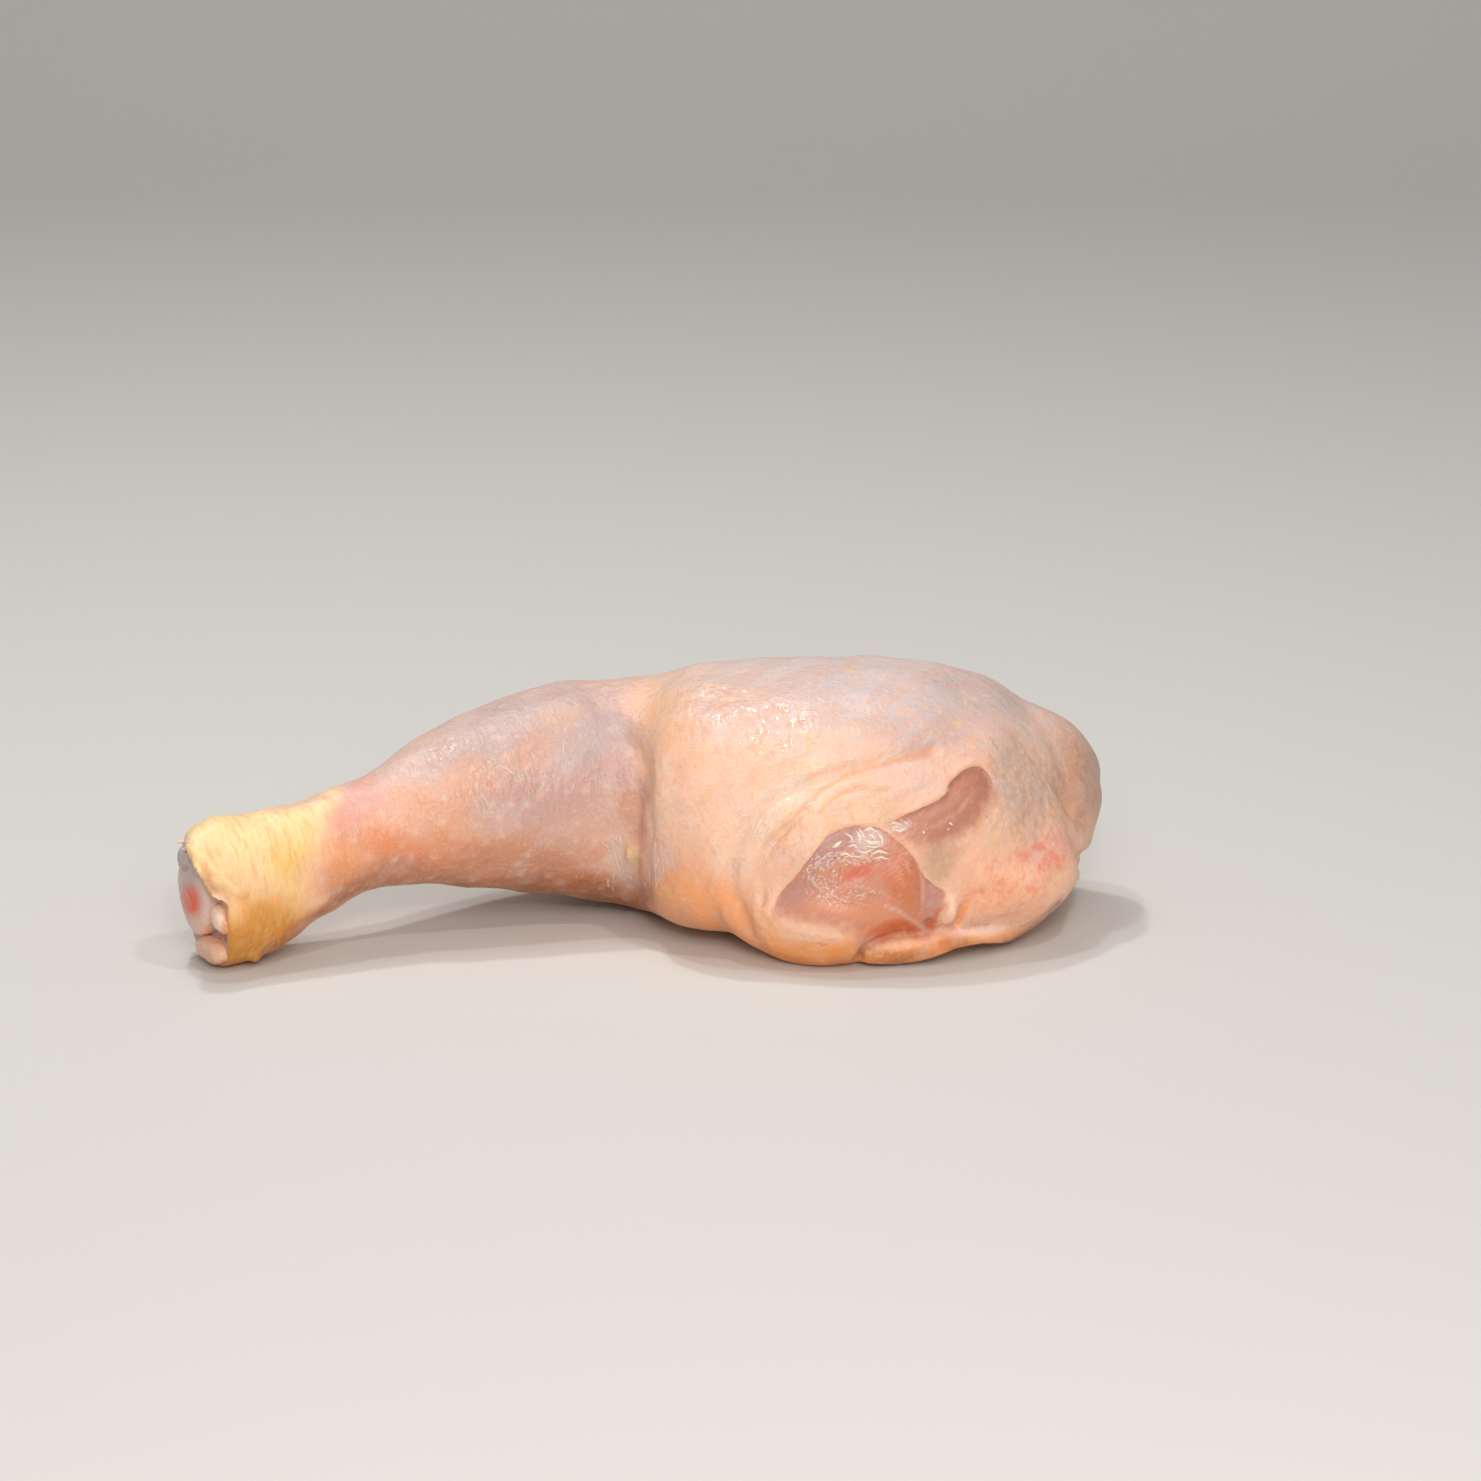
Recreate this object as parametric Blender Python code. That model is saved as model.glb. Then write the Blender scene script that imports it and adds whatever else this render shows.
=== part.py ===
"""Raw chicken leg quarter: thigh and drumstick in one piece, skin on, lying on its inner side.

Blender 4.5, metres, +Z up, +X from the hock to the hip, +Y away from the side that the skin is torn on.
The skinned flesh is one solid. The shin bone with its marrow and three tendons run into it from the
cut at the hock, each as a solid of its own.
"""

import math

import bmesh
import bpy
import numpy as np
from mathutils import Matrix, Vector

MM = 0.001

# The flesh, in millimetres. Each row is one cross-section: across, depth and height of its centre, then
# how far it reaches up, down, to the front and to the back, and how square its lower half is (2 is an
# ellipse, and more sags flat on the board). The first row is cut away at the hock.
SECTIONS = (
    (-104.0, -1.5, 15.0, 14.2, 14.8, 11.6, 12.0, 2.3),
    (-97.0, 2.6, 15.9, 15.4, 16.4, 12.4, 12.8, 2.3),
    (-90.0, 7.0, 17.0, 16.3, 17.0, 12.5, 12.5, 2.2),
    (-80.5, 12.3, 19.3, 15.6, 16.0, 12.3, 12.3, 2.0),
    (-69.0, 19.0, 23.6, 12.9, 13.6, 11.8, 11.8, 2.0),
    (-57.5, 25.6, 26.3, 13.0, 14.4, 12.8, 12.8, 2.0),
    (-46.0, 32.2, 28.6, 17.6, 18.8, 16.8, 16.8, 2.0),
    (-32.0, 40.2, 29.0, 21.8, 22.0, 20.5, 20.5, 2.0),
    (-18.4, 47.0, 28.6, 25.4, 24.8, 23.5, 24.0, 2.0),
    (-7.0, 50.0, 27.2, 26.6, 25.4, 25.0, 27.0, 2.0),
    (4.0, 50.0, 26.6, 28.4, 26.0, 28.0, 30.0, 2.1),
    (13.0, 48.5, 26.0, 32.6, 25.6, 41.0, 28.0, 2.4),
    (32.0, 46.5, 23.5, 36.8, 23.4, 48.0, 29.5, 2.9),
    (50.0, 45.5, 22.0, 38.3, 22.6, 50.0, 30.5, 3.2),
    (66.0, 45.5, 22.0, 37.6, 22.6, 46.5, 30.0, 3.1),
    (77.0, 45.5, 22.5, 35.4, 22.9, 41.0, 29.0, 2.9),
    (86.0, 46.0, 24.0, 32.4, 23.2, 34.0, 27.5, 2.6),
    (94.0, 46.5, 26.0, 27.0, 22.0, 25.0, 25.0, 2.2),
    (100.0, 47.0, 28.0, 20.0, 15.0, 18.0, 19.0, 2.0),
    (104.5, 47.0, 29.0, 12.5, 7.5, 11.0, 12.0, 2.0),
    (106.8, 47.0, 29.3, 3.2, 2.2, 3.0, 3.0, 2.0),
)
RING_POINTS = 64
STEPS_PER_SECTION = 6

# Flesh and skin that stand out of those sections: the middle, the half sizes, and the turn about Y and
# Z in degrees.
BULGES = (
    ((42.0, 10.0, 12.0), (23.0, 17.0, 13.5), (0, -4)),
    ((84.0, 20.5, 15.5), (19.0, 12.5, 12.0), (-14, 28)),
    ((93.0, 53.5, 30.5), (14.0, 17.0, 13.0), (0, 0)),
)

# The rolled edge of the skin flap along the board: across, depth, height and radius of the roll.
FLAP_ROLL = (
    (51.0, 1.0, 3.4, 2.4),
    (60.0, 3.0, 4.2, 3.6),
    (69.0, 7.5, 4.6, 4.2),
    (78.0, 12.5, 5.0, 4.3),
    (86.0, 19.0, 6.0, 4.2),
    (92.0, 27.0, 8.0, 3.6),
    (96.5, 37.0, 10.0, 2.4),
)

# The hock is cut square to the shin here. What is lower than this lies flat on the board.
HOCK_CUT = -97.9
FLAT_UNDER = 0.03

# The front is laid out as it is seen from a little above the board: across, and up in a plane that
# leans back by this angle.
LEAN = math.radians(15.5)
VIEW_DISTANCE = 1500.0
VIEW_CENTRE = Vector((23.1, 40.0, 42.5))

# Creases and folds on the front: how deep they start and end, how wide, and the line that they follow.
CREASES = (
    (0.6, 4.0, 2.8, ((-14.7, 66.5), (-9.4, 59.8), (-4.8, 54.3), (-0.7, 48.0), (0.9, 36.0), (-0.2, 11.0))),
    (0.5, 0.9, 1.7, ((24.2, 8.1), (20.7, 19.6), (24.2, 31.1), (34.5, 40.2), (50.6, 46.0), (66.7, 49.5))),
    (0.8, 0.5, 1.7, ((17.2, 9.2), (15.0, 21.9), (18.9, 35.6), (29.9, 46.0), (48.3, 52.9))),
    (0.3, 1.2, 1.6, ((14.0, 24.0), (15.2, 16.0), (19.5, 5.5))),
    (0.4, 2.0, 2.0, ((22.8, 15.0), (24.5, 8.0), (27.5, 2.0))),
    (2.2, 0.8, 1.6, ((50.5, 1.5), (52.4, 5.8), (56.0, 8.6), (62.0, 9.9), (67.0, 8.0))),
    (1.6, 0.3, 1.5, ((71.5, 8.9), (76.4, 9.2), (80.3, 9.2), (84.0, 10.4), (88.5, 13.0))),
    (0.6, 2.0, 1.3, ((73.0, 15.5), (73.2, 12.0), (72.8, 8.6))),
    (2.2, 0.3, 1.6, ((103.0, 23.5), (100.7, 28.8), (97.5, 35.0))),
)

# Where the skin has torn off the thigh: a crescent, given by its middle line and half widths, and the
# outline of a wider gap.
CRESCENT = (
    (56.5, 31.6, 0.2),
    (60.5, 31.4, 2.2),
    (65.0, 31.8, 4.4),
    (69.7, 34.0, 5.0),
    (74.0, 37.8, 5.0),
    (76.8, 41.0, 4.0),
)
GAP = (
    (30.8, 13.6),
    (36.4, 20.8),
    (40.6, 27.2),
    (46.0, 31.6),
    (53.4, 32.2),
    (59.0, 30.2),
    (63.8, 25.0),
    (66.4, 20.4),
    (70.4, 16.6),
    (69.6, 11.6),
    (67.2, 7.4),
    (62.4, 9.8),
    (55.6, 9.4),
    (51.0, 6.2),
    (47.0, 9.6),
    (38.0, 11.0),
)
TEAR_DEPTH = 1.2

# Muscle swells in both: all along the crescent, and in the gap by middle, half sizes, turn in degrees
# and height.
CRESCENT_SWELL = 2.0
SWELLS = (
    ((46.5, 21.0), (14.0, 9.0), 38, 1.7),
    ((60.6, 19.6), (6.0, 8.5), -12, 2.0),
    ((58.6, 10.2), (8.0, 2.4), 8, 1.2),
)

# Slow unevenness of the skin.
LUMP_HEIGHT = 0.25
LUMP_LENGTH = 13.0

# What runs into the flesh from the cut, from its first to its last cross-section: how far across, how
# far forward and up of the leg's middle there, and its half sizes up and forward.
BONE = (
    (-100.2, -1.9, 1.6, 5.2, 4.6),
    (-99.9, -1.8, 1.6, 7.2, 6.1),
    (-99.1, -1.7, 1.4, 8.7, 7.4),
    (-97.4, -1.6, 1.4, 9.4, 7.9),
    (-93.0, -1.2, 1.2, 8.8, 7.4),
    (-83.0, -0.4, 0.8, 6.0, 5.2),
    (-68.0, 0.0, 0.5, 3.9, 3.7),
    (-40.0, 0.0, 0.5, 4.2, 4.0),
    (-22.0, 0.0, 0.5, 7.0, 6.6),
    (-12.0, 0.0, 0.5, 8.0, 7.4),
    (-8.0, 0.0, 0.5, 5.0, 4.6),
)
MARROW = (
    (-100.2, -2.4, 1.0, 3.9, 3.7),
    (-97.0, -2.2, 1.0, 3.7, 3.4),
    (-87.0, -0.8, 0.8, 2.6, 2.4),
    (-66.0, 0.0, 0.5, 2.0, 1.9),
    (-34.0, 0.0, 0.5, 2.2, 2.1),
    (-24.0, 0.0, 0.5, 1.4, 1.4),
)
HEEL_TENDON = (
    (-99.1, 1.8, -11.2, 1.7, 3.4),
    (-98.5, 1.8, -11.2, 2.2, 4.5),
    (-96.5, 1.6, -11.2, 2.3, 4.6),
    (-87.0, 0.6, -11.5, 2.2, 3.2),
    (-64.0, 0.0, -8.4, 1.2, 1.4),
)
SIDE_TENDON = (
    (-98.9, 7.7, -3.2, 2.5, 1.2),
    (-98.3, 7.8, -3.2, 3.3, 1.7),
    (-96.0, 7.9, -3.2, 3.4, 1.7),
    (-87.0, 8.0, -2.4, 2.4, 1.4),
    (-76.0, 7.0, -1.4, 1.0, 1.0),
)
SHIN_TENDON = (
    (-98.7, -7.4, 10.2, 0.7, 0.7),
    (-98.1, -7.4, 10.2, 1.0, 1.0),
    (-89.0, -7.0, 9.6, 1.3, 1.2),
    (-76.0, -5.2, 8.2, 0.9, 0.9),
)
POCKET = (
    (-97.9, 4.9, -7.3, 1.0, 0.8),
    (-96.6, 4.9, -7.3, 0.8, 0.6),
    (-95.0, 4.9, -7.3, 0.3, 0.3),
)
RUN_STEPS = 3
CLEARANCE = 0.35
ROOM_AHEAD = 2.5

COARSE_VOXEL = 1.6
COARSE_SMOOTHING = 14
FINE_VOXEL = 1.0
FINE_SMOOTHING = 5
FLESH_TRIANGLES = 8600


def smoothstep(low, high, value):
    t = np.clip((value - low) / (high - low), 0, 1)
    return t * t * (3 - 2 * t)


def seen(points):
    """Where points show from the front, as millimetres across and up from the foot of the plane."""
    back = np.array((0, -math.cos(LEAN), math.sin(LEAN)))
    up = np.array((0, math.sin(LEAN), math.cos(LEAN)))
    centre = np.array(VIEW_CENTRE)
    rays = points - centre
    nearness = VIEW_DISTANCE / (VIEW_DISTANCE - rays @ back)
    return np.stack([centre[0] + rays[:, 0] * nearness, centre @ up + rays @ up * nearness], axis=1)


def facing(normals):
    """1 on the side that shows from the front, falling to 0 where the surface turns away."""
    back = np.array((0, -math.cos(LEAN), math.sin(LEAN)))
    return smoothstep(0.0, 0.35, normals @ back)


def spline_rows(rows, steps):
    """The rows of a smooth curve through these rows, with so many steps from each to the next."""
    rows = np.array(rows, float)
    gaps = np.linalg.norm(np.diff(rows[:, :2], axis=0), axis=1)
    slopes = np.gradient(rows, np.concatenate([[0], np.cumsum(gaps)]), axis=0)
    found = []
    for i, gap in enumerate(gaps):
        for t in np.arange(steps) / steps:
            found.append(
                (2 * t**3 - 3 * t**2 + 1) * rows[i]
                + (t**3 - 2 * t**2 + t) * gap * slopes[i]
                + (3 * t**2 - 2 * t**3) * rows[i + 1]
                + (t**3 - t**2) * gap * slopes[i + 1]
            )
    return np.array(found + [rows[-1]])


def along_path(points, path):
    """How far each point lies from a smooth path in the plane, and the path's row nearest to it."""
    line = spline_rows(path, 8)
    nearest = np.full(len(points), np.inf)
    rows = np.zeros((len(points), line.shape[1]))
    for first, second in zip(line, line[1:]):
        start, run = first[:2], second[:2] - first[:2]
        t = np.clip((points - start) @ run / (run @ run), 0, 1)
        away = np.linalg.norm(points - start - t[:, None] * run, axis=1)
        closer = away < nearest
        nearest[closer] = away[closer]
        rows[closer] = first + t[closer, None] * (second - first)
    return nearest, rows


def crease(places, start, end, width, path):
    """How deep a crease is at each place: it fades out at both ends of its path."""
    marked = [(*point, k / (len(path) - 1)) for k, point in enumerate(path)]
    away, rows = along_path(places, marked)
    share = rows[:, 2]
    return (start + (end - start) * share) * np.exp(-((away / width) ** 2))


def inside_outline(places, outline):
    """How far inside a smooth closed outline each place lies, and below 0 outside."""
    line = spline_rows((*outline, outline[0]), 6)
    away = np.full(len(places), np.inf)
    crossings = np.zeros(len(places), int)
    for start, end in zip(line, line[1:]):
        run = end - start
        t = np.clip((places - start) @ run / (run @ run), 0, 1)
        away = np.minimum(away, np.linalg.norm(places - start - t[:, None] * run, axis=1))
        if run[1] == 0:
            continue
        spans = (start[1] > places[:, 1]) != (end[1] > places[:, 1])
        left_of = places[:, 0] < start[0] + (places[:, 1] - start[1]) * run[0] / run[1]
        crossings += spans & left_of
    return np.where(crossings % 2 == 1, away, -away)


def inside_crescent(places):
    away, rows = along_path(places, CRESCENT)
    return rows[:, 2] - away


def inside_tears(places):
    """How far inside the crescent or the gap each place lies, in millimetres, and below 0 outside."""
    return np.maximum(inside_crescent(places), inside_outline(places, GAP))


def swell(places, middle, halves, turn, height):
    turned = math.radians(turn)
    offset = places - middle
    long = offset[:, 0] * math.cos(turned) + offset[:, 1] * math.sin(turned)
    short = offset[:, 1] * math.cos(turned) - offset[:, 0] * math.sin(turned)
    return height * smoothstep(1, 0, np.hypot(long / halves[0], short / halves[1]))


def lumps(points):
    """A smooth unevenness from a few waves in fixed directions, between about -1 and 1."""
    draw = np.random.default_rng(5)
    height = np.zeros(len(points))
    waves = 9
    for _ in range(waves):
        direction = draw.normal(size=3)
        direction /= np.linalg.norm(direction)
        length = LUMP_LENGTH * draw.uniform(0.7, 1.5)
        height += np.sin(points @ direction * 2 * math.pi / length + draw.uniform(0, 2 * math.pi))
    return height / math.sqrt(waves)


def frame_of(along):
    """The forward and upward directions of a cross-section square to this direction."""
    along = along / np.linalg.norm(along)
    forward = np.cross(along, (0, 0, 1))
    forward /= np.linalg.norm(forward)
    return forward, np.cross(forward, along)


def flesh_ring(row, along):
    centre = np.array(row[:3])
    up, down, front, back, squareness = row[3:]
    forward, upward = frame_of(along)
    points = []
    for k in range(RING_POINTS):
        turn = 2 * math.pi * k / RING_POINTS
        side, lift = math.cos(turn), math.sin(turn)
        power = 2 / squareness if lift < 0 else 1.0
        side = math.copysign(abs(side) ** power, side)
        lift = math.copysign(abs(lift) ** power, lift)
        reach = front if side > 0 else back
        rise = up if lift > 0 else down
        points.append(centre + forward * side * reach + upward * lift * rise)
    return points


def oval_ring(centre, along, half_up, half_forward, count):
    forward, upward = frame_of(along)
    turns = [2 * math.pi * k / count for k in range(count)]
    return [centre + forward * half_forward * math.cos(a) + upward * half_up * math.sin(a) for a in turns]


def bridged(rings):
    """A closed bmesh through rings that have as many points each."""
    bm = bmesh.new()
    rings = [[bm.verts.new(p) for p in ring] for ring in rings]
    count = len(rings[0])
    for one, other in zip(rings, rings[1:]):
        for k in range(count):
            n = (k + 1) % count
            bm.faces.new((one[k], one[n], other[n], other[k]))
    bm.faces.new(rings[0])
    bm.faces.new(rings[-1][::-1])
    bmesh.ops.recalc_face_normals(bm, faces=bm.faces)
    return bm


def new_object(name, bm):
    mesh = bpy.data.meshes.new(name)
    bm.to_mesh(mesh)
    bm.free()
    made = bpy.data.objects.new(name, mesh)
    bpy.context.scene.collection.objects.link(made)
    return made


def apply_modifiers(thing):
    """Makes what the modifiers of an object show its own mesh."""
    graph = bpy.context.evaluated_depsgraph_get()
    finished = bpy.data.meshes.new_from_object(thing.evaluated_get(graph))
    thing.modifiers.clear()
    thing.data = finished


def fuse(thing, voxel, smoothing):
    """Makes overlapping shapes one skin, and softens where they meet."""
    remesh = thing.modifiers.new("fuse", "REMESH")
    remesh.mode = "VOXEL"
    remesh.voxel_size = voxel
    soften = thing.modifiers.new("soften", "SMOOTH")
    soften.iterations = smoothing
    apply_modifiers(thing)


def spine():
    """The middles of the flesh's cross-sections, and the direction of each."""
    rows = spline_rows(SECTIONS, STEPS_PER_SECTION)
    return rows, np.gradient(rows[:, :3], axis=0)


def main_mass():
    rows, runs = spine()
    return bridged([flesh_ring(row, run) for row, run in zip(rows, runs)])


def flap_roll():
    rows = spline_rows(FLAP_ROLL, 4)
    runs = np.gradient(rows[:, :3], axis=0)
    return bridged([oval_ring(row[:3], run, row[3], row[3], 16) for row, run in zip(rows, runs)])


def add_bulges(bm):
    for middle, halves, turns in BULGES:
        leaning = Matrix.Rotation(math.radians(turns[0]), 4, "Y")
        turned = Matrix.Rotation(math.radians(turns[1]), 4, "Z") @ leaning
        place = Matrix.Translation(middle) @ turned @ Matrix.Diagonal((*halves, 1))
        bmesh.ops.create_uvsphere(bm, u_segments=32, v_segments=20, radius=1, matrix=place)


def add_relief(thing):
    """Moves the skin in along its creases and tears, and out where the bared muscle swells."""
    mesh = thing.data
    points = np.zeros(len(mesh.vertices) * 3)
    mesh.vertices.foreach_get("co", points)
    points = points.reshape(-1, 3)
    normals = np.zeros(len(mesh.vertices) * 3)
    mesh.vertex_normals.foreach_get("vector", normals)
    normals = normals.reshape(-1, 3)
    places = seen(points)
    height = np.zeros(len(points))
    for start, end, width, path in CREASES:
        height -= crease(places, start, end, width, path)
    inside = inside_tears(places)
    height -= TEAR_DEPTH * smoothstep(-0.7, 1.0, inside)
    height += CRESCENT_SWELL * smoothstep(0, 4.5, inside_crescent(places))
    for muscle in SWELLS:
        height += swell(places, *muscle) * smoothstep(0, 1, inside)
    height *= facing(normals)
    height += LUMP_HEIGHT * lumps(points)
    points += normals * height[:, None]
    mesh.vertices.foreach_set("co", points.ravel())
    mesh.update()


def lighten(thing, triangles):
    """Collapses edges until about so many triangles are left."""
    thing.data.calc_loop_triangles()
    collapse = thing.modifiers.new("lighten", "DECIMATE")
    collapse.ratio = triangles / len(thing.data.loop_triangles)
    apply_modifiers(thing)


def settle(thing):
    """Presses the flesh flat where it would reach below the board."""
    for vertex in thing.data.vertices:
        if vertex.co.z < FLAT_UNDER:
            vertex.co.z = 0


def saw_off(thing, point, outward):
    """Cuts away what lies past a plane, and closes the cut with a flat face."""
    bm = bmesh.new()
    bm.from_mesh(thing.data)
    everything = [*bm.verts, *bm.edges, *bm.faces]
    cut = bmesh.ops.bisect_plane(bm, geom=everything, plane_co=point, plane_no=outward, clear_outer=True)
    rim = [edge for edge in cut["geom_cut"] if isinstance(edge, bmesh.types.BMEdge)]
    bmesh.ops.contextual_create(bm, geom=rim)
    bmesh.ops.recalc_face_normals(bm, faces=bm.faces)
    bm.to_mesh(thing.data)
    bm.free()


def spine_at(across):
    """The middle of the flesh where the leg has come this far across, and its direction there."""
    rows, runs = spine()
    middle = [np.interp(across, rows[:, 0], rows[:, k]) for k in range(3)]
    direction = [np.interp(across, rows[:, 0], runs[:, k]) for k in range(3)]
    return np.array(middle), np.array(direction)


def run_through(name, rows):
    """A solid that runs into the flesh from the cut."""
    rings = []
    for across, forward_by, up_by, half_up, half_forward in rows:
        middle, along = spine_at(across)
        forward, upward = frame_of(along)
        centre = middle + forward * forward_by + upward * up_by
        rings.append(oval_ring(centre, along, half_up, half_forward, 16))
    return new_object(name, bridged(rings))


def room_for(name, rows):
    """A cutter that is wider than such a solid, and longer at both ends."""
    ahead, past = rows[0].copy(), rows[-1].copy()
    ahead[0] -= ROOM_AHEAD
    past[0] += CLEARANCE
    wider = np.vstack([ahead, rows, past])
    wider[:, 3:] += CLEARANCE
    cutter = run_through(name + " room", wider)
    cutter.hide_render = True
    cutter.display_type = "WIRE"
    return cutter


def cut_out(thing, cutter):
    cut = thing.modifiers.new("room for " + cutter.name, "BOOLEAN")
    cut.operation = "DIFFERENCE"
    cut.object = cutter


def material(name, colour, roughness):
    made = bpy.data.materials.new(name)
    made.use_nodes = True
    shader = made.node_tree.nodes["Principled BSDF"]
    shader.inputs["Base Color"].default_value = (*colour, 1)
    shader.inputs["Roughness"].default_value = roughness
    return made


def make_flesh():
    bm = main_mass()
    add_bulges(bm)
    flesh = new_object("leg_quarter", bm)
    fuse(flesh, COARSE_VOXEL, COARSE_SMOOTHING)
    bm = flap_roll()
    bm.from_mesh(flesh.data)
    bm.to_mesh(flesh.data)
    bm.free()
    fuse(flesh, FINE_VOXEL, FINE_SMOOTHING)
    add_relief(flesh)
    settle(flesh)
    lighten(flesh, FLESH_TRIANGLES)
    settle(flesh)
    middle, along = spine_at(HOCK_CUT)
    saw_off(flesh, middle, -along)
    return flesh


def middle_under(thing):
    """The middle of the underside of a mesh's box."""
    corners = np.array([vertex.co for vertex in thing.data.vertices])
    low, high = corners.min(axis=0), corners.max(axis=0)
    return Vector(((low[0] + high[0]) / 2, (low[1] + high[1]) / 2, low[2]))


def main():
    for old in list(bpy.data.objects):
        bpy.data.objects.remove(old)
    flesh = make_flesh()
    flesh.data.materials.append(material("chicken skin", (0.80, 0.60, 0.50), 0.35))
    bone_rows = spline_rows(BONE, RUN_STEPS)
    bone = run_through("shin_bone", bone_rows)
    bone.data.materials.append(material("gristle", (0.72, 0.60, 0.58), 0.35))
    cut_out(flesh, room_for("shin_bone", bone_rows))
    marrow_rows = spline_rows(MARROW, RUN_STEPS)
    marrow = run_through("marrow", marrow_rows)
    marrow.data.materials.append(material("marrow", (0.58, 0.18, 0.14), 0.4))
    cut_out(bone, room_for("marrow", marrow_rows))
    sinew = material("sinew", (0.78, 0.55, 0.50), 0.35)
    tendons = {"heel_tendon": HEEL_TENDON, "side_tendon": SIDE_TENDON, "shin_tendon": SHIN_TENDON}
    for name, shape in tendons.items():
        rows = spline_rows(shape, RUN_STEPS)
        run_through(name, rows).data.materials.append(sinew)
        cut_out(flesh, room_for(name, rows))
    cut_out(flesh, room_for("pocket", spline_rows(POCKET, RUN_STEPS)))
    placed = Matrix.Scale(MM, 4) @ Matrix.Translation(-middle_under(flesh))
    for thing in bpy.data.objects:
        thing.data.transform(placed)
        thing.data.shade_smooth()
        thing.data.set_sharp_from_angle(angle=math.radians(50))


main()
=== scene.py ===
"""Raw chicken leg quarter, as it looks: moist skin with bared muscle, and the cut hock with bone and tendons.

Lengths in the tables are millimetres in the leg's own frame: +X from the hock to the hip, +Y away from
the side that the skin is torn on, +Z up off the board. placed() brings a mesh from there to the model.
"""
import math

import bmesh
import bpy
import numpy as np
from bpy.props import FloatProperty, FloatVectorProperty, IntProperty, PointerProperty
from mathutils import Matrix, Vector
from mathutils.bvhtree import BVHTree


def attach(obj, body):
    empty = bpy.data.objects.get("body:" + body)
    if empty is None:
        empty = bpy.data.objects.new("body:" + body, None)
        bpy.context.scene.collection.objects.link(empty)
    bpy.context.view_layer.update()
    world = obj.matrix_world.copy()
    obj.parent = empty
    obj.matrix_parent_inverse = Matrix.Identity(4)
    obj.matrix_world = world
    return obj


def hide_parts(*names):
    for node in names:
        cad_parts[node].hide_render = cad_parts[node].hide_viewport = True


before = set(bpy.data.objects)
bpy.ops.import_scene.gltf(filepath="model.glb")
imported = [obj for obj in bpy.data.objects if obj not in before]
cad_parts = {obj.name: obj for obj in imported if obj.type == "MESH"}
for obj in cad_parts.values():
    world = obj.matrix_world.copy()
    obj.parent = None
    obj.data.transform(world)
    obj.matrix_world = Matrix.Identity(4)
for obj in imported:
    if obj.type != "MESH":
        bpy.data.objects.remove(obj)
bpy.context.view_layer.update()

bl_info = {
    "name": "Raw Chicken Leg Quarter",
    "version": (1, 0, 0),
    "blender": (4, 5, 0),
    "location": "3D View > Sidebar > Chicken Leg",
    "description": "Builds a raw chicken leg quarter with its skin, bared muscle and cut hock",
    "category": "Add Mesh",
}

# The leg

MM = 0.001
LEG_MIDDLE = Vector((1.261, 35.597, 0.0))

# Cross-sections of the flesh, from the hock to the hip. Each has the place of its middle (across, depth,
# height), how far the flesh reaches up, down, forward and back of it, and how square its lower half is.
SECTIONS = (
    (-104, -1.5, 15, 15.4, 14.8, 11.6, 12, 2.3),
    (-97, 2.6, 15.9, 16.7, 16.4, 12.4, 12.8, 2.3),
    (-90, 7, 17, 16.3, 17, 12.5, 12.5, 2.2),
    (-80.5, 12.3, 19.3, 15.4, 15.2, 12.3, 12.3, 2),
    (-69, 19, 23.6, 12.9, 12.6, 11.8, 11.8, 2),
    (-57.5, 25.6, 26.3, 13, 14.4, 12.8, 12.8, 2),
    (-46, 32.2, 28.6, 17.6, 18.8, 16.8, 16.8, 2),
    (-32, 40.2, 29, 21.8, 22, 20.5, 20.5, 2),
    (-18.4, 47, 28.6, 25.4, 24.8, 23.5, 24, 2),
    (-7, 50, 27.2, 26.6, 25.4, 25, 27, 2),
    (2.2, 50, 26.6, 28.3, 26, 27.6, 30, 2.1),
    (11.4, 48.5, 26, 32.2, 25.6, 40.6, 28, 2.4),
    (32, 46.5, 23.5, 36.8, 23.4, 48, 29.5, 2.9),
    (50, 45.5, 22, 38.3, 22.6, 50, 30.5, 3.2),
    (66, 45.5, 22, 37.6, 22.6, 46.5, 30, 3.1),
    (77, 45.5, 22.5, 35.4, 22.9, 41, 29, 2.9),
    (86, 46, 24, 32.4, 23.2, 34, 27.5, 2.6),
    (94, 46.5, 26, 27, 22, 25, 25, 2.2),
    (100, 47, 28, 20, 15, 18, 19, 2),
    (104.5, 47, 29, 12.5, 7.5, 11, 12, 2),
    (106.8, 47, 29.3, 3.2, 2.2, 3, 3, 2),
)
BULGES = (  # middle, half sizes, turns about Y and Z
    ((42, 10, 12), (23, 17, 13.5), (0, -4)),
    ((84, 20.5, 15.5), (19, 12.5, 12), (-14, 28)),
    ((93, 53.5, 30.5), (14, 17, 13), (0, 0)),
)
FLAP_ROLL = (  # across, depth, height, radius
    (51, 1, 3.4, 2.4),
    (60, 3, 4.2, 3.6),
    (69, 7.5, 4.6, 4.2),
    (78, 12.5, 5, 4.3),
    (86, 19, 6, 4.2),
    (92, 27, 8, 3.6),
    (96.5, 37, 10, 2.4),
)
# How high the flap's front edge hangs over the board: across, and the height there.
FLAP_LIFT = ((54, 0), (62, 0.8), (66, 1.8), (72, 3.5), (78, 3.8), (84, 2.6), (90, 0.6), (93, 0))
# How far back that ends, and how far back it is still full.
FLAP_REACH = (30.0, 6.0)
HOCK_CUT = -97.9

# The front is laid out as it is seen from a little above the board: across, and up in a plane that
# leans back by this angle.
LEAN = math.radians(15.5)
VIEW_DISTANCE = 1500.0
VIEW_CENTRE = Vector((23.1, 40, 42.5))

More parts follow.
